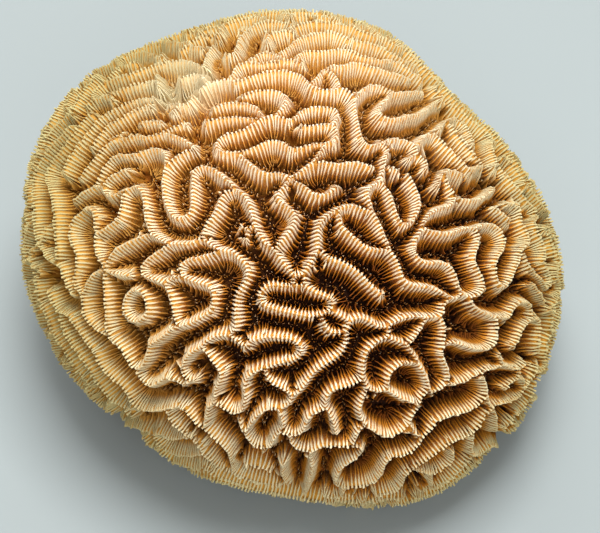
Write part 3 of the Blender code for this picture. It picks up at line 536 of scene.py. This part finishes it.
def cut_at_base(mesh, rim_below=False):
    """Cut a mesh off at the base plane, close its plates there, and return its closed outlines.

    With rim_below its open rim is lowered first, so that the cut meets it all the way round.
    """
    cut = bmesh.new()
    cut.from_mesh(mesh)
    for vert in cut.verts:
        if rim_below and vert.is_boundary:
            vert.co.z = min(vert.co.z, -BELOW_CUT)
    made = bmesh.ops.bisect_plane(
        cut, geom=cut.verts[:] + cut.edges[:] + cut.faces[:], dist=1e-6,
        plane_co=(0.0, 0.0, 0.0), plane_no=(0.0, 0.0, 1.0), clear_inner=True)
    outlines = []
    edges = [item for item in made["geom_cut"]
             if isinstance(item, bmesh.types.BMEdge) and item.is_boundary]
    for line, closed in list(chains(edges)):
        corners = list(dict.fromkeys(line))
        if closed:
            outlines.append([vert.co.copy() for vert in corners])
        elif len(corners) > 2 and cut.faces.get(corners) is None:
            cut.faces.new(corners)
    cut.normal_update()
    cut.to_mesh(mesh)
    cut.free()
    return outlines


def settle(piece):
    """A piece of the head rides on it and takes the place of its plain solid."""
    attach(piece, "root")
    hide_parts(NODE)


class CoralWalls(bpy.types.PropertyGroup):
    crest_gap: FloatProperty(
        name="Crest Gap", description="How far the wall's crest stands below the septa",
        default=0.00060, min=0.0, max=0.002, subtype="DISTANCE", unit="LENGTH", precision=5)
    floor_below: FloatProperty(
        name="Floor Below", description="How far the valley floor lies below the septa's lowest edges",
        default=0.0016, min=0.0, max=0.004, subtype="DISTANCE", unit="LENGTH", precision=5)
    foot: FloatProperty(
        name="Wall Foot", description="Where the wall meets the floor, from crest (0) to valley (1)",
        default=0.62, min=0.2, max=1.0, subtype="FACTOR")


class CoralSepta(bpy.types.PropertyGroup):
    spacing: FloatProperty(
        name="Spacing", description="Distance from septum to septum along a crest",
        default=0.00088, min=0.0006, max=0.002, subtype="DISTANCE", unit="LENGTH", precision=5)
    thickness: FloatProperty(
        name="Thickness", description="Thickness of a septum's foot near the crest",
        default=0.00052, min=0.0001, max=0.001, subtype="DISTANCE", unit="LENGTH", precision=5)
    unevenness: FloatProperty(
        name="Unevenness", description="How much higher or lower than the next a septum stands",
        default=0.00013, min=0.0, max=0.0005, subtype="DISTANCE", unit="LENGTH", precision=5)
    teeth: FloatProperty(
        name="Teeth", description="How far the upper edge of a septum rises and falls along its way",
        default=0.00014, min=0.0, max=0.0005, subtype="DISTANCE", unit="LENGTH", precision=5)
    waviness: FloatProperty(
        name="Waviness", description="How far a septum strays to its sides",
        default=0.00006, min=0.0, max=0.0003, subtype="DISTANCE", unit="LENGTH", precision=5)
    short_share: FloatProperty(
        name="Short Septa", description="Share of the septa that stop short of the valley",
        default=0.4, min=0.0, max=1.0, subtype="FACTOR")


class CoralColumella(bpy.types.PropertyGroup):
    spacing: FloatProperty(
        name="Spacing", description="Distance from grain to grain along a valley",
        default=0.0006, min=0.0003, max=0.003, subtype="DISTANCE", unit="LENGTH", precision=5)
    grain: FloatProperty(
        name="Grain", description="Half width of a grain",
        default=0.00026, min=0.0001, max=0.001, subtype="DISTANCE", unit="LENGTH", precision=5)


class CoralColours(bpy.types.PropertyGroup):
    crest: FloatVectorProperty(
        name="Bleached Crest", description="Colour of the septa's edges on the crests in front",
        default=(0.94, 0.83, 0.62), min=0.0, max=1.0, subtype="COLOR")
    # Tan at the sides partly stands for painted shade there.
    tan: FloatVectorProperty(
        name="Tan Crest", description="Colour of the septa's edges on the crests at the sides",
        default=(0.58, 0.48, 0.23), min=0.0, max=1.0, subtype="COLOR")
    margin: FloatVectorProperty(
        name="Margin", description="Colour of the septa's edges below the crests",
        default=(0.76, 0.41, 0.10), min=0.0, max=1.0, subtype="COLOR")
    # Darker where stained: partly brown stain, partly painted shade.
    stained_and_shaded: FloatVectorProperty(
        name="Stained Margin", description="Colour of the septa's edges below the crests where stained",
        default=(0.60, 0.225, 0.020), min=0.0, max=1.0, subtype="COLOR")
    # Dark deep down: partly painted shade in the valleys.
    sunken: FloatVectorProperty(
        name="Sunken Edge", description="Colour of the septa's edges near the stained bottoms",
        default=(0.20, 0.058, 0.007), min=0.0, max=1.0, subtype="COLOR")
    upper: FloatVectorProperty(
        name="Upper Wall", description="Colour of the walls near the crests",
        default=(0.62, 0.28, 0.03), min=0.0, max=1.0, subtype="COLOR")
    # Darker than the upper wall: partly painted shade farther down the valleys.
    wall: FloatVectorProperty(
        name="Lower Wall", description="Colour of the walls farther down",
        default=(0.34, 0.10, 0.006), min=0.0, max=1.0, subtype="COLOR")
    # Nearly black: painted shade at the bottoms of the valleys.
    bottom: FloatVectorProperty(
        name="Bottom", description="Colour of the valley bottoms",
        default=(0.016, 0.004, 0.001), min=0.0, max=1.0, subtype="COLOR")


class CoralStage(bpy.types.PropertyGroup):
    floor: FloatVectorProperty(
        name="Floor", description="Colour of the floor",
        default=(0.300, 0.338, 0.340), min=0.0, max=1.0, subtype="COLOR")
    key: FloatProperty(
        name="Key Light", description="Power of the light above",
        default=7.8, min=0.0, max=100.0, unit="POWER")
    fill: FloatProperty(
        name="Fill Light", description="Strength of the light from all round",
        default=0.40, min=0.0, max=5.0)


def ramp_between(tree, factor, colours, places):
    """A colour ramp with the given colours at the given places."""
    ramp = tree.nodes.new("ShaderNodeValToRGB")
    elements = ramp.color_ramp.elements
    while len(elements) < len(colours):
        elements.new(0.5)
    for element, colour, place in zip(elements, colours, places):
        element.position = place
        element.color = (*colour, 1.0)
    tree.links.new(factor, ramp.inputs["Fac"])
    return ramp.outputs["Color"]


def mixed(tree, factor, first, second, blend="MIX"):
    """Two colours mixed, each a socket or a plain colour."""
    mix = tree.nodes.new("ShaderNodeMix")
    mix.data_type = "RGBA"
    mix.blend_type = blend
    sockets = {"Factor": mix.inputs[0], "A": mix.inputs[6], "B": mix.inputs[7]}
    for key, value in (("Factor", factor), ("A", first), ("B", second)):
        if isinstance(value, bpy.types.NodeSocket):
            tree.links.new(value, sockets[key])
        elif key == "Factor":
            sockets[key].default_value = value
        else:
            sockets[key].default_value = (*value, 1.0)
    return mix.outputs[2]


def noise(tree, place, scale, detail=3.0, roughness=0.6):
    """Noise with about scale bumps to the metre."""
    node = tree.nodes.new("ShaderNodeTexNoise")
    node.inputs["Scale"].default_value = scale
    node.inputs["Detail"].default_value = detail
    node.inputs["Roughness"].default_value = roughness
    tree.links.new(place, node.inputs["Vector"])
    return node.outputs["Fac"]


def stretched(tree, value, low, high, to_low=0.0, to_high=1.0):
    """A number moved from one range to another."""
    node = tree.nodes.new("ShaderNodeMapRange")
    tree.links.new(value, node.inputs["Value"])
    for key, number in (("From Min", low), ("From Max", high), ("To Min", to_low), ("To Max", to_high)):
        node.inputs[key].default_value = number
    return node.outputs["Result"]


def attribute(tree, name):
    """A number that a piece holds at its points."""
    node = tree.nodes.new("ShaderNodeAttribute")
    node.attribute_name = name
    return node.outputs["Fac"]


def math_node(tree, operation, first, second):
    """The result for two numbers, each a socket or a plain number, kept from 0 to 1."""
    node = tree.nodes.new("ShaderNodeMath")
    node.operation = operation
    node.use_clamp = True
    for socket, value in zip(node.inputs, (first, second)):
        if isinstance(value, bpy.types.NodeSocket):
            tree.links.new(value, socket)
        else:
            socket.default_value = value
    return node.outputs[0]


def roughened(tree, shader, place, scale, distance):
    """Fine bumps and uneven roughness."""
    rough = stretched(tree, noise(tree, place, 0.4 * scale), *NOISE_RANGE, *ROUGHNESS_RANGE)
    tree.links.new(rough, shader.inputs["Roughness"])
    shader.inputs["Specular IOR Level"].default_value = DULL_SPECULAR
    bump = tree.nodes.new("ShaderNodeBump")
    bump.inputs["Strength"].default_value = BUMP_STRENGTH
    bump.inputs["Distance"].default_value = distance
    tree.links.new(noise(tree, place, scale, 2.0), bump.inputs["Height"])
    tree.links.new(bump.outputs["Normal"], shader.inputs["Normal"])


def coral_material():
    """Aragonite stained by age, with painted shade and light: cream edges, orange-brown walls that
    darken downwards, and nearly black bottoms that are painted shade.

    The pieces hold what it reads at each point: the height from valley to crest, whether the point is
    on a septum's edge, a tone for each septum, how stained and painted in shade, how bleached and
    painted in light, and how worn the place is.
    """
    if "coral" in bpy.data.materials:
        return bpy.data.materials["coral"]
    colours = bpy.context.scene.coral_colours
    crest, tan, margin, low, sunken, upper, wall, bottom = (
        tuple(getattr(colours, key))
        for key in ("crest", "tan", "margin", "stained_and_shaded", "sunken", "upper", "wall", "bottom"))
    gap = tuple(GAP_SHADE * channel for channel in upper)
    deep = tuple(DEEP_SHADE * channel for channel in wall)
    material = bpy.data.materials.new("coral")
    material.use_nodes = True
    tree = material.node_tree
    shader = tree.nodes["Principled BSDF"]
    place = tree.nodes.new("ShaderNodeTexCoord").outputs["Object"]
    height, edge, tone, stain_and_shade, bleach_and_light, worn = (
        attribute(tree, key) for key in ("height", "edge", "tone", "stain_and_shade", "bleach_and_light", "worn"))
    height = math_node(tree, "MAXIMUM", height, math_node(tree, "MULTIPLY", worn, WORN_HEIGHT))
    lowered = math_node(tree, "MULTIPLY", math_node(tree, "SUBTRACT", stain_and_shade, 1.0), STAIN_AND_SHADE_LOWERS)
    height = math_node(tree, "SUBTRACT", height, lowered)

    # The walls darken downwards to nearly black bottoms: painted shade in the valleys, more of it where the
    # stain and painted shade are high.
    stained_and_shaded_walls = ramp_between(tree, height, (bottom, bottom, wall, upper, gap), STAINED_AND_SHADED_PLACES)
    fresh_and_less_shaded_walls = ramp_between(tree, height, (deep, wall, upper, margin, upper), FRESH_AND_LESS_SHADED_PLACES)
    body = mixed(tree, stain_and_shade, fresh_and_less_shaded_walls, stained_and_shaded_walls)

    stained_and_shaded_edges = mixed(tree, stretched(tree, height, *SUNKEN_TO_STAINED_AND_SHADED), sunken, low)
    lower_edges = mixed(tree, stain_and_shade, margin, stained_and_shaded_edges)
    edges = mixed(tree, stretched(tree, height, *LOWER_TO_MARGIN), lower_edges, margin)
    # Crests are cream where bleached and painted in light, and tan at the sides, where that tan is painted
    # shade.
    crests = mixed(tree, bleach_and_light, tan, crest)
    edges = mixed(tree, stretched(tree, height, *MARGIN_TO_CREST), edges, crests)

    sharp = math_node(tree, "POWER", edge, EDGE_SHARPNESS)
    sharp = math_node(tree, "ADD", sharp, math_node(tree, "MULTIPLY", worn, WORN_EDGE))
    speckle = stretched(tree, noise(tree, place, SPECKLE_SCALE), *NOISE_RANGE, -SPECKLE, SPECKLE)
    colour = mixed(tree, math_node(tree, "ADD", sharp, speckle), body, edges)
    patches = stretched(tree, noise(tree, place, PATCH_SCALE, 4.0), *PATCH_NOISE, 0.0, MOST_PATCH)
    colour = mixed(tree, patches, colour, PATCH_TINT, "MULTIPLY")
    shade = stretched(tree, tone, 0.0, 1.0, 0.0, MOST_SHADE)
    colour = mixed(tree, shade, colour, SHADE_TINT, "MULTIPLY")
    # A greenish painted shade and reflection dulls the sides.
    side_shade_and_reflection = mixed(tree, bleach_and_light, SIDE_SHADE_AND_REFLECTION_TINT, (1.0, 1.0, 1.0))
    tree.links.new(mixed(tree, 1.0, colour, side_shade_and_reflection, "MULTIPLY"), shader.inputs["Base Color"])
    roughened(tree, shader, place, CORAL_BUMP_SCALE, CORAL_BUMP)
    return material


def cut_material():
    """The sawn inside of the skeleton: pale, with fine pores."""
    material = bpy.data.materials.new("cut_stone")
    material.use_nodes = True
    tree = material.node_tree
    shader = tree.nodes["Principled BSDF"]
    place = tree.nodes.new("ShaderNodeTexCoord").outputs["Object"]
    colours = bpy.context.scene.coral_colours
    pores = stretched(tree, noise(tree, place, PORE_SCALE, 4.0, 0.7), *PORE_NOISE)
    bands = stretched(tree, noise(tree, place, BAND_SCALE), *NOISE_RANGE, 0.0, MOST_BAND)
    pale = mixed(tree, bands, tuple(colours.crest), tuple(colours.margin))
    tree.links.new(mixed(tree, pores, tuple(colours.wall), pale), shader.inputs["Base Color"])
    roughened(tree, shader, place, CUT_BUMP_SCALE, CUT_BUMP)
    return material


def weathering_and_painted_light_at(points):
    """How worn the head is, how dark its valleys are with stain and painted shade, and how pale its crests
    are with bleaching and painted light.
    """
    seen = unit(points - HEART) @ np.stack(sight_axes(), axis=1)
    worn = smooth_step(math.cos(WORN_REACH), math.cos(WORN_THROUGHOUT * WORN_REACH),
                       seen @ unit(np.array(WORN_PLACE)))
    stain_and_shade = STAIN_AND_SHADE_BASE + seen @ np.array(STAIN_AND_SHADE_TOWARDS)
    bleach_and_light = BLEACH_AND_LIGHT_BASE + seen @ np.array(BLEACH_AND_LIGHT_TOWARDS) - BLEACH_AND_LIGHT_LOST_ASIDE * seen[:, 0] ** 2
    return {"worn": worn, "stain_and_shade": np.clip(stain_and_shade, *STAIN_AND_SHADE_RANGE), "bleach_and_light": np.clip(bleach_and_light, *BLEACH_AND_LIGHT_RANGE)}


class CORAL_OT_walls(bpy.types.Operator):
    """Grow the walls and the valley floors"""
    bl_idname = "coral.walls"
    bl_label = "Walls"

    def execute(self, context):
        walls = context.scene.coral_walls
        grown = head()
        above = (grown.dome[grown.faces][:, :, 2] > -BELOW_CUT).all(axis=1)
        used, faces = np.unique(grown.faces[above], return_inverse=True)
        faces = faces.reshape(-1, 3)
        points, normals = grown.dome[used], grown.normals[used]
        share, half = grown.share(points)
        pairs = edges_of(faces)
        for _ in range(HALF_ROUNDS):
            half = neighbour_mean(half, pairs)
        down = way_down(share, half)
        depth = wall_depth(down, half, walls)
        surface = points - depth[:, None] * normals
        values = {"height": 1.0 - down, "edge": np.zeros(len(share)), "tone": np.full(len(share), 0.5),
                  **weathering_and_painted_light_at(points)}
        whole = new_piece("walls", surface, faces, values, coral_material())
        GROWN["outlines"] = cut_at_base(whole.data, rim_below=True)
        self.halve(whole, values)
        return {"FINISHED"}

    def halve(self, whole, keys):
        """The walls as two pieces, in front and behind."""
        mesh = whole.data
        count = len(mesh.vertices)
        points = np.empty(count * 3)
        mesh.vertices.foreach_get("co", points)
        points = points.reshape(-1, 3)
        numbers = {}
        for key in keys:
            numbers[key] = np.empty(count)
            mesh.attributes[key].data.foreach_get("value", numbers[key])
        mesh.calc_loop_triangles()
        faces = np.empty(len(mesh.loop_triangles) * 3, np.int32)
        mesh.loop_triangles.foreach_get("vertices", faces)
        faces = faces.reshape(-1, 3)
        bpy.data.objects.remove(whole)
        behind = points[faces].mean(axis=1)[:, 1] > 0.0
        for name, kept in (("walls_front", ~behind), ("walls_back", behind)):
            used, part = np.unique(faces[kept], return_inverse=True)
            piece = new_piece(name, points[used], part.reshape(-1, 3),
                              {key: numbers[key][used] for key in numbers}, coral_material())
            settle(piece)


def evenly_along(points, gap):
    """Indices of points about a gap apart, picked one after the other along the lines."""
    ahead = LOOK_AHEAD * gap
    tree = search_tree(points)
    covered = np.zeros(len(points), bool)
    kept = []
    for start in range(len(points)):
        waiting = [(gap, start)]
        while waiting:
            index = heapq.heappop(waiting)[1]
            if covered[index]:
                continue
            kept.append(index)
            for _, other, away in tree.find_range(points[index], ahead):
                if away < gap:
                    covered[other] = True
                elif not covered[other]:
                    heapq.heappush(waiting, (away, other))
    return kept


def bend(start, leave, end):
    """Points at the stations of curves from start to end that set off in the direction of leave."""
    length = np.linalg.norm(end - start, axis=1)[:, None]
    control = start + BEND_PULL * length * leave
    u = STATIONS[None, :, None]
    return (1 - u) ** 2 * start[:, None] + 2 * u * (1 - u) * control[:, None] + u ** 2 * end[:, None]


def half_septa(grown, crests, leave):
    """For each crest point the way down on one side, the valley's half width, and whether there is one.

    Where no way down starts at the crest point itself, as inside a bend, one to the nearest valley is
    looked up.
    """
    found, off = nearest(grown.way_tree, crests + BESIDE * leave)
    direct = off < DIRECT_WITHIN * BESIDE
    inner, _ = nearest(grown.valley_tree, crests + LOOKED_UP_AT * leave)
    ends = np.where(direct[:, None], grown.ends[found], grown.valleys[inner])
    halves = np.where(direct, grown.end_halves[found], grown.valley_halves[inner])
    onward = unit(ends - crests)
    reach = np.linalg.norm(ends - crests, axis=1)
    straight = np.where(direct, ONWARD_DIRECT, ONWARD_LOOKED_UP)[:, None]
    paths = bend(crests, unit(leave + straight * onward), ends)
    _, off_ridge = nearest(grown.ridge_tree, paths[:, len(STATIONS) // 2])
    outward_bound = np.einsum("ij,ij->i", onward, leave) > LEAST_OUTWARD
    clear = outward_bound & (off_ridge > LEAST_CLEARANCE * reach)
    return paths, halves, (direct | clear) & (reach < LONGEST)


class CORAL_OT_septa(bpy.types.Operator):
    """Grow the septa across every ridge"""
    bl_idname = "coral.septa"
    bl_label = "Septa"

    def execute(self, context):
        septa, walls = context.scene.coral_septa, context.scene.coral_walls
        grown = head()
        draw = np.random.default_rng(RANDOM_SEED)
        groups = self.crossing(grown, septa.spacing)
        for start, probe in FILLING_ROUNDS:
            groups.append(self.filling(grown, groups, septa.spacing, start, probe))
        groups = [part for group in groups for part in self.long_and_short(group, septa.short_share, draw)]
        self.build(grown, groups, septa, walls, draw)
        return {"FINISHED"}

    def crossing(self, grown, spacing):
        """Septa from valley to valley across the crests, or down one side where the other has none."""
        kept = evenly_along(grown.ridges, spacing)
        crests, ways = grown.ridges[kept], grown.ridge_ways[kept]
        _, normals = grown.lay(crests)
        across = unit(np.cross(normals, ways))
        one, one_half, one_clear = half_septa(grown, crests, across)
        other, other_half, other_clear = half_septa(grown, crests, -across)
        both = one_clear & other_clear
        count = len(STATIONS)
        halves = np.concatenate((np.repeat(one_half[:, None], count - 1, 1),
                                 np.repeat(other_half[:, None], count, 1)), axis=1)
        paths = np.concatenate((one[:, :0:-1], other), axis=1)
        groups = [(paths[both], halves[both], np.concatenate((STATIONS[:0:-1], STATIONS)))]
        for path, half, clear in ((one, one_half, one_clear), (other, other_half, other_clear)):
            only = clear & ~both
            groups.append((path[only], np.repeat(half[only][:, None], count, 1), STATIONS))
        return groups

    def filling(self, grown, groups, spacing, start, probe):
        """Septa down one side, from a station on, where those there are leave a gap beside the probe."""
        lines = []
        for paths, _, _ in groups:
            steps = paths[:, 1:] - paths[:, :-1]
            for part in (0.0, 0.5):
                lines.append((paths[:, :-1] + part * steps).reshape(-1, 3))
        seeds = grown.dome[grown.dome[:, 2] > LOWEST_FILLED]
        _, off = nearest(search_tree(np.concatenate(lines)), seeds)
        seeds = seeds[off > GAP * spacing]
        share, _ = grown.share(seeds)
        seeds = seeds[np.abs(share - probe) < PROBE_WIDTH]
        seeds = seeds[evenly_along(seeds, FILLING_SPACING * spacing)]
        to_crest, _ = nearest(grown.ridge_tree, seeds)
        to_valley, _ = nearest(grown.valley_tree, seeds)
        feet, ends = grown.ridges[to_crest], grown.valleys[to_valley]
        share = STATIONS[start:]
        upper = feet[:, None] + (seeds - feet)[:, None] * (share / probe)[None, :, None]
        below = (share - probe) / (1.0 - probe)
        lower = seeds[:, None] + (ends - seeds)[:, None] * below[None, :, None]
        near = np.linalg.norm(ends - feet, axis=1) < LONGEST
        paths = np.where((share < probe)[None, :, None], upper, lower)[near]
        return paths, np.repeat(grown.valley_halves[to_valley][near][:, None], len(share), 1), share

    def long_and_short(self, group, short_share, draw):
        """A group of septa in two: those that reach the valley, and those that stop short of it."""
        paths, halves, share = group
        short = draw.random(len(paths)) < short_share
        kept = share < STATIONS[-1]
        return ((paths[~short], halves[~short], share),
                (paths[short][:, kept], halves[short][:, kept], share[kept]))

    def build(self, grown, groups, septa, walls, draw):
        """Each septum as a strip of four corners a station, laid on the dome and set in the wall."""
        laid = []
        for paths, halves, share in groups:
            points, normals = grown.lay(paths)
            laid.append((points, normals, halves, share))
        trees = {}
        for level in STATIONS:
            trees[level] = search_tree(np.concatenate(
                [points[:, share == level].reshape(-1, 3) for points, _, _, share in laid]))
        parts = []
        for points, normals, halves, share in laid:
            count = len(points)
            room = np.empty(points.shape[:2])
            for column, level in enumerate(share):
                tree = trees[level]
                room[:, column] = [tree.find_n(point, 2)[1][2] for point in points[:, column]]
            side = unit(np.cross(normals, np.gradient(points, axis=1)))
            lift = draw.normal(0.0, septa.unevenness, (count, 1))
            lift = lift + draw.normal(0.0, septa.teeth, points.shape[:2])
            points = points + draw.normal(0.0, septa.waviness, points.shape[:2])[:, :, None] * side
            down = way_down(share[None, :], halves)
            top = septa_depth(down, halves) - lift
            foot = wall_depth(down, halves, walls) + FOOT_IN_WALL
            thickness = septa.thickness * draw.uniform(*THICKNESS_RANGE, (count, 1))
            thickness = thickness * (THICK_AT_CREST - THINNER_BELOW * smooth_step(*THINNING, down))
            half = 0.5 * np.minimum(thickness, MOST_OF_ROOM * room)[:, :, None] * side
            top, foot = top[:, :, None] * normals, foot[:, :, None] * normals
            ring = np.stack((points - foot - half, points - top - EDGE_SHARE * half,
                             points - top + EDGE_SHARE * half, points - foot + half), axis=2)
            edge = np.zeros(ring.shape[:3])
            edge[:, :, 1:3] = 1.0
            tone = np.broadcast_to(draw.random((count, 1, 1)), ring.shape[:3])
            parts.append((ring, np.repeat(1.0 - down[:, :, None], 4, 2), edge, tone))
        self.make_pieces(parts)

    def make_pieces(self, parts):
        """The septa as four pieces, one for each quarter of the head."""
        for number, name in enumerate(("septa_right", "septa_back", "septa_left", "septa_front")):
            points, faces, values = [], [], []
            total = 0
            for ring, height, edge, tone in parts:
                middle = ring.mean(axis=(1, 2))
                turn = np.arctan2(middle[:, 1], middle[:, 0]) / (0.5 * math.pi)
                chosen = np.floor(turn + 0.5).astype(int) % 4 == number
                count, stations = ring[chosen].shape[:2]
                faces.append(total + self.faces(count, stations))
                total += count * stations * 4
                points.append(ring[chosen].reshape(-1, 3))
                values.append(np.stack([numbers[chosen].ravel() for numbers in (height, edge, tone)]))
            points = np.concatenate(points)
            height, edge, tone = np.concatenate(values, axis=1)
            values = {"height": height, "edge": edge, "tone": tone, **weathering_and_painted_light_at(points)}
            piece = new_piece(name, points, np.concatenate(faces), values, coral_material())
            cut_at_base(piece.data)
            piece.data.set_sharp_from_angle(angle=SHARP_ANGLE)
            settle(piece)

    def faces(self, count, stations):
        """Quads of strips with four corners at each station, closed but for the foot in the wall."""
        quads = []
        for station in range(stations - 1):
            here = 4 * station
            for corner in range(3):
                quads.append((here + corner, here + corner + 4, here + corner + 5, here + corner + 1))
        last = 4 * (stations - 1)
        quads.append((0, 1, 2, 3))
        quads.append((last, last + 3, last + 2, last + 1))
        quads = np.array(quads)
        return (quads[None] + (np.arange(count) * stations * 4)[:, None, None]).reshape(-1, 4)


class CORAL_OT_columella(bpy.types.Operator):
    """Grow the spongy columella along the valley bottoms"""
    bl_idname = "coral.columella"
    bl_label = "Columella"

    def execute(self, context):
        columella, walls = context.scene.coral_columella, context.scene.coral_walls
        grown = head()
        draw = np.random.default_rng(RANDOM_SEED + 1)
        kept = np.repeat(evenly_along(grown.valleys, columella.spacing), 2)
        seeds, falls = grown.valleys[kept], full_depth(grown.valley_halves[kept])[:, None]
        seeds = seeds + draw.normal(0.0, GRAIN_STRAY, seeds.shape)
        middle, normals = grown.lay(seeds)
        count = len(middle)
        side = unit(np.cross(normals, draw.normal(size=(count, 3))))
        other = np.cross(normals, side)
        size = columella.grain * draw.uniform(*GRAIN_SIZES, (count, 1))
        top = falls + walls.floor_below * draw.uniform(*GRAIN_TOPS, (count, 1))
        foot = falls + walls.floor_below + walls.crest_gap + GRAIN_FOOT
        waist = 0.5 * (top + foot)
        corners = [middle - top * normals + GRAIN_TIP * size * side]
        for swing in (side, other, -side, -other):
            swing = size * draw.uniform(*GRAIN_CORNERS, (count, 1)) * swing
            corners.append(middle - waist * normals + swing)
        corners.append(middle - foot * normals)
        points = np.stack(corners, axis=1).reshape(-1, 3)
        tip, bottom = 0, len(corners) - 1
        sides = [(1 + corner, 1 + (corner + 1) % 4) for corner in range(4)]
        faces = [(tip, one, other) for one, other in sides] + [(bottom, other, one) for one, other in sides]
        faces = (np.array(faces)[None] + (len(corners) * np.arange(count))[:, None, None]).reshape(-1, 3)
        height = np.full((count, len(corners)), GRAIN_HEIGHT)
        height[:, tip] = draw.uniform(*TIP_HEIGHTS, count)
        edge = np.full((count, len(corners)), GRAIN_EDGE)
        edge[:, tip] = draw.uniform(*TIP_EDGES, count)
        tone = np.repeat(draw.random(count), len(corners))
        values = {"height": height.ravel(), "edge": edge.ravel(), "tone": tone, **weathering_and_painted_light_at(points)}
        piece = new_piece("columella", points, faces, values, coral_material())
        cut_at_base(piece.data)
        settle(piece)
        return {"FINISHED"}


class CORAL_OT_cut_face(bpy.types.Operator):
    """Close the head with its flat cut face"""
    bl_idname = "coral.cut_face"
    bl_label = "Cut Face"

    def execute(self, context):
        points = [point for outline in GROWN["outlines"] for point in outline]
        faces = tessellate_polygon(GROWN["outlines"])
        if not faces:
            raise RuntimeError("the cut face was not filled")
        mesh = bpy.data.meshes.new("cut_face")
        mesh.from_pydata([(point.x, point.y, 0.0) for point in points], [], faces)
        if mesh.polygons[0].normal.z > 0.0:
            mesh.flip_normals()
        mesh.materials.append(cut_material())
        piece = bpy.data.objects.new("cut_face", mesh)
        context.scene.collection.objects.link(piece)
        settle(piece)
        return {"FINISHED"}


class CORAL_OT_stage(bpy.types.Operator):
    """Set the floor, the lights and the camera"""
    bl_idname = "coral.stage"
    bl_label = "Stage"

    def execute(self, context):
        stage = context.scene.coral_stage
        self.floor(context, stage)
        self.lights(context, stage)
        self.camera(context)
        return {"FINISHED"}

    def floor(self, context, stage):
        mesh = bpy.data.meshes.new("floor")
        corners = [(x * FLOOR_HALF, y * FLOOR_HALF, 0.0) for x, y in ((-1, -1), (1, -1), (1, 1), (-1, 1))]
        mesh.from_pydata(corners, [], [(0, 1, 2, 3)])
        material = bpy.data.materials.new("floor")
        material.use_nodes = True
        tree = material.node_tree
        shader = tree.nodes["Principled BSDF"]
        place = tree.nodes.new("ShaderNodeTexCoord").outputs["Object"]
        low = tuple(FLOOR_SHADE * channel for channel in stage.floor)
        colour = mixed(tree, noise(tree, place, FLOOR_SCALE), low, tuple(stage.floor))
        tree.links.new(colour, shader.inputs["Base Color"])
        shader.inputs["Roughness"].default_value = FLOOR_ROUGHNESS
        mesh.materials.append(material)
        floor = bpy.data.objects.new("floor", mesh)
        context.scene.collection.objects.link(floor)

    def lights(self, context, stage):
        for name, place, size, share in LAMPS:
            light = bpy.data.lights.new(name, "AREA")
            light.size = size
            light.energy = share * stage.key
            lamp = bpy.data.objects.new(name, light)
            lamp.location = place
            ray = Vector(LAMPS_AIM) - Vector(place)
            lamp.rotation_euler = ray.to_track_quat("-Z", "Y").to_euler()
            context.scene.collection.objects.link(lamp)
        world = bpy.data.worlds.new("studio")
        world.use_nodes = True
        background = world.node_tree.nodes["Background"]
        background.inputs["Color"].default_value = STUDIO_WHITE
        background.inputs["Strength"].default_value = stage.fill
        context.scene.world = world

    def camera(self, context):
        right, up, near = (Vector(axis) for axis in sight_axes())
        middle = Vector((BASE_SHIFT[0], BASE_SHIFT[1], HEART[2]))
        aim = middle + right * (PICTURE_MIDDLE[0] - HEAD_MIDDLE[0]) * PIXEL
        aim -= up * (PICTURE_MIDDLE[1] - HEAD_MIDDLE[1]) * PIXEL
        data = bpy.data.cameras.new("camera")
        data.sensor_width = SENSOR_WIDTH
        data.lens = data.sensor_width * SIGHT_DISTANCE / (PICTURE_WIDTH * PIXEL)
        data.clip_start = NEAREST_SEEN
        camera = bpy.data.objects.new("camera", data)
        camera.location = aim + near * SIGHT_DISTANCE
        camera.rotation_euler = (math.radians(90.0) - SIGHT_ELEVATION, 0.0, 0.0)
        context.scene.collection.objects.link(camera)
        context.scene.camera = camera


class CORAL_PT_panel(bpy.types.Panel):
    """The pieces of the coral and their sizes"""
    bl_idname = "CORAL_PT_panel"
    bl_label = "Coral"
    bl_space_type = "VIEW_3D"
    bl_region_type = "UI"
    bl_category = "Coral"

    def draw(self, context):
        for group, operator in SECTIONS:
            box = self.layout.box()
            if group:
                settings = getattr(context.scene, group)
                for key in settings.__annotations__:
                    box.prop(settings, key)
            if operator:
                box.operator(operator)


SECTIONS = (
    ("coral_colours", ""),
    ("coral_walls", "coral.walls"),
    ("coral_septa", "coral.septa"),
    ("coral_columella", "coral.columella"),
    ("", "coral.cut_face"),
    ("coral_stage", "coral.stage"),
)
GROUPS = {
    "coral_colours": CoralColours,
    "coral_walls": CoralWalls,
    "coral_septa": CoralSepta,
    "coral_columella": CoralColumella,
    "coral_stage": CoralStage,
}
CLASSES = (*GROUPS.values(), CORAL_OT_walls, CORAL_OT_septa, CORAL_OT_columella, CORAL_OT_cut_face,
           CORAL_OT_stage, CORAL_PT_panel)


def register():
    for item in CLASSES:
        bpy.utils.register_class(item)
    for name, group in GROUPS.items():
        setattr(bpy.types.Scene, name, PointerProperty(type=group))


def unregister():
    for name in GROUPS:
        delattr(bpy.types.Scene, name)
    for item in reversed(CLASSES):
        bpy.utils.unregister_class(item)


def main():
    register()
    bpy.ops.coral.walls()
    bpy.ops.coral.septa()
    bpy.ops.coral.columella()
    bpy.ops.coral.cut_face()
    bpy.ops.coral.stage()
    bpy.context.scene.view_settings.view_transform = "Standard"


if __name__ == "__main__":
    main()
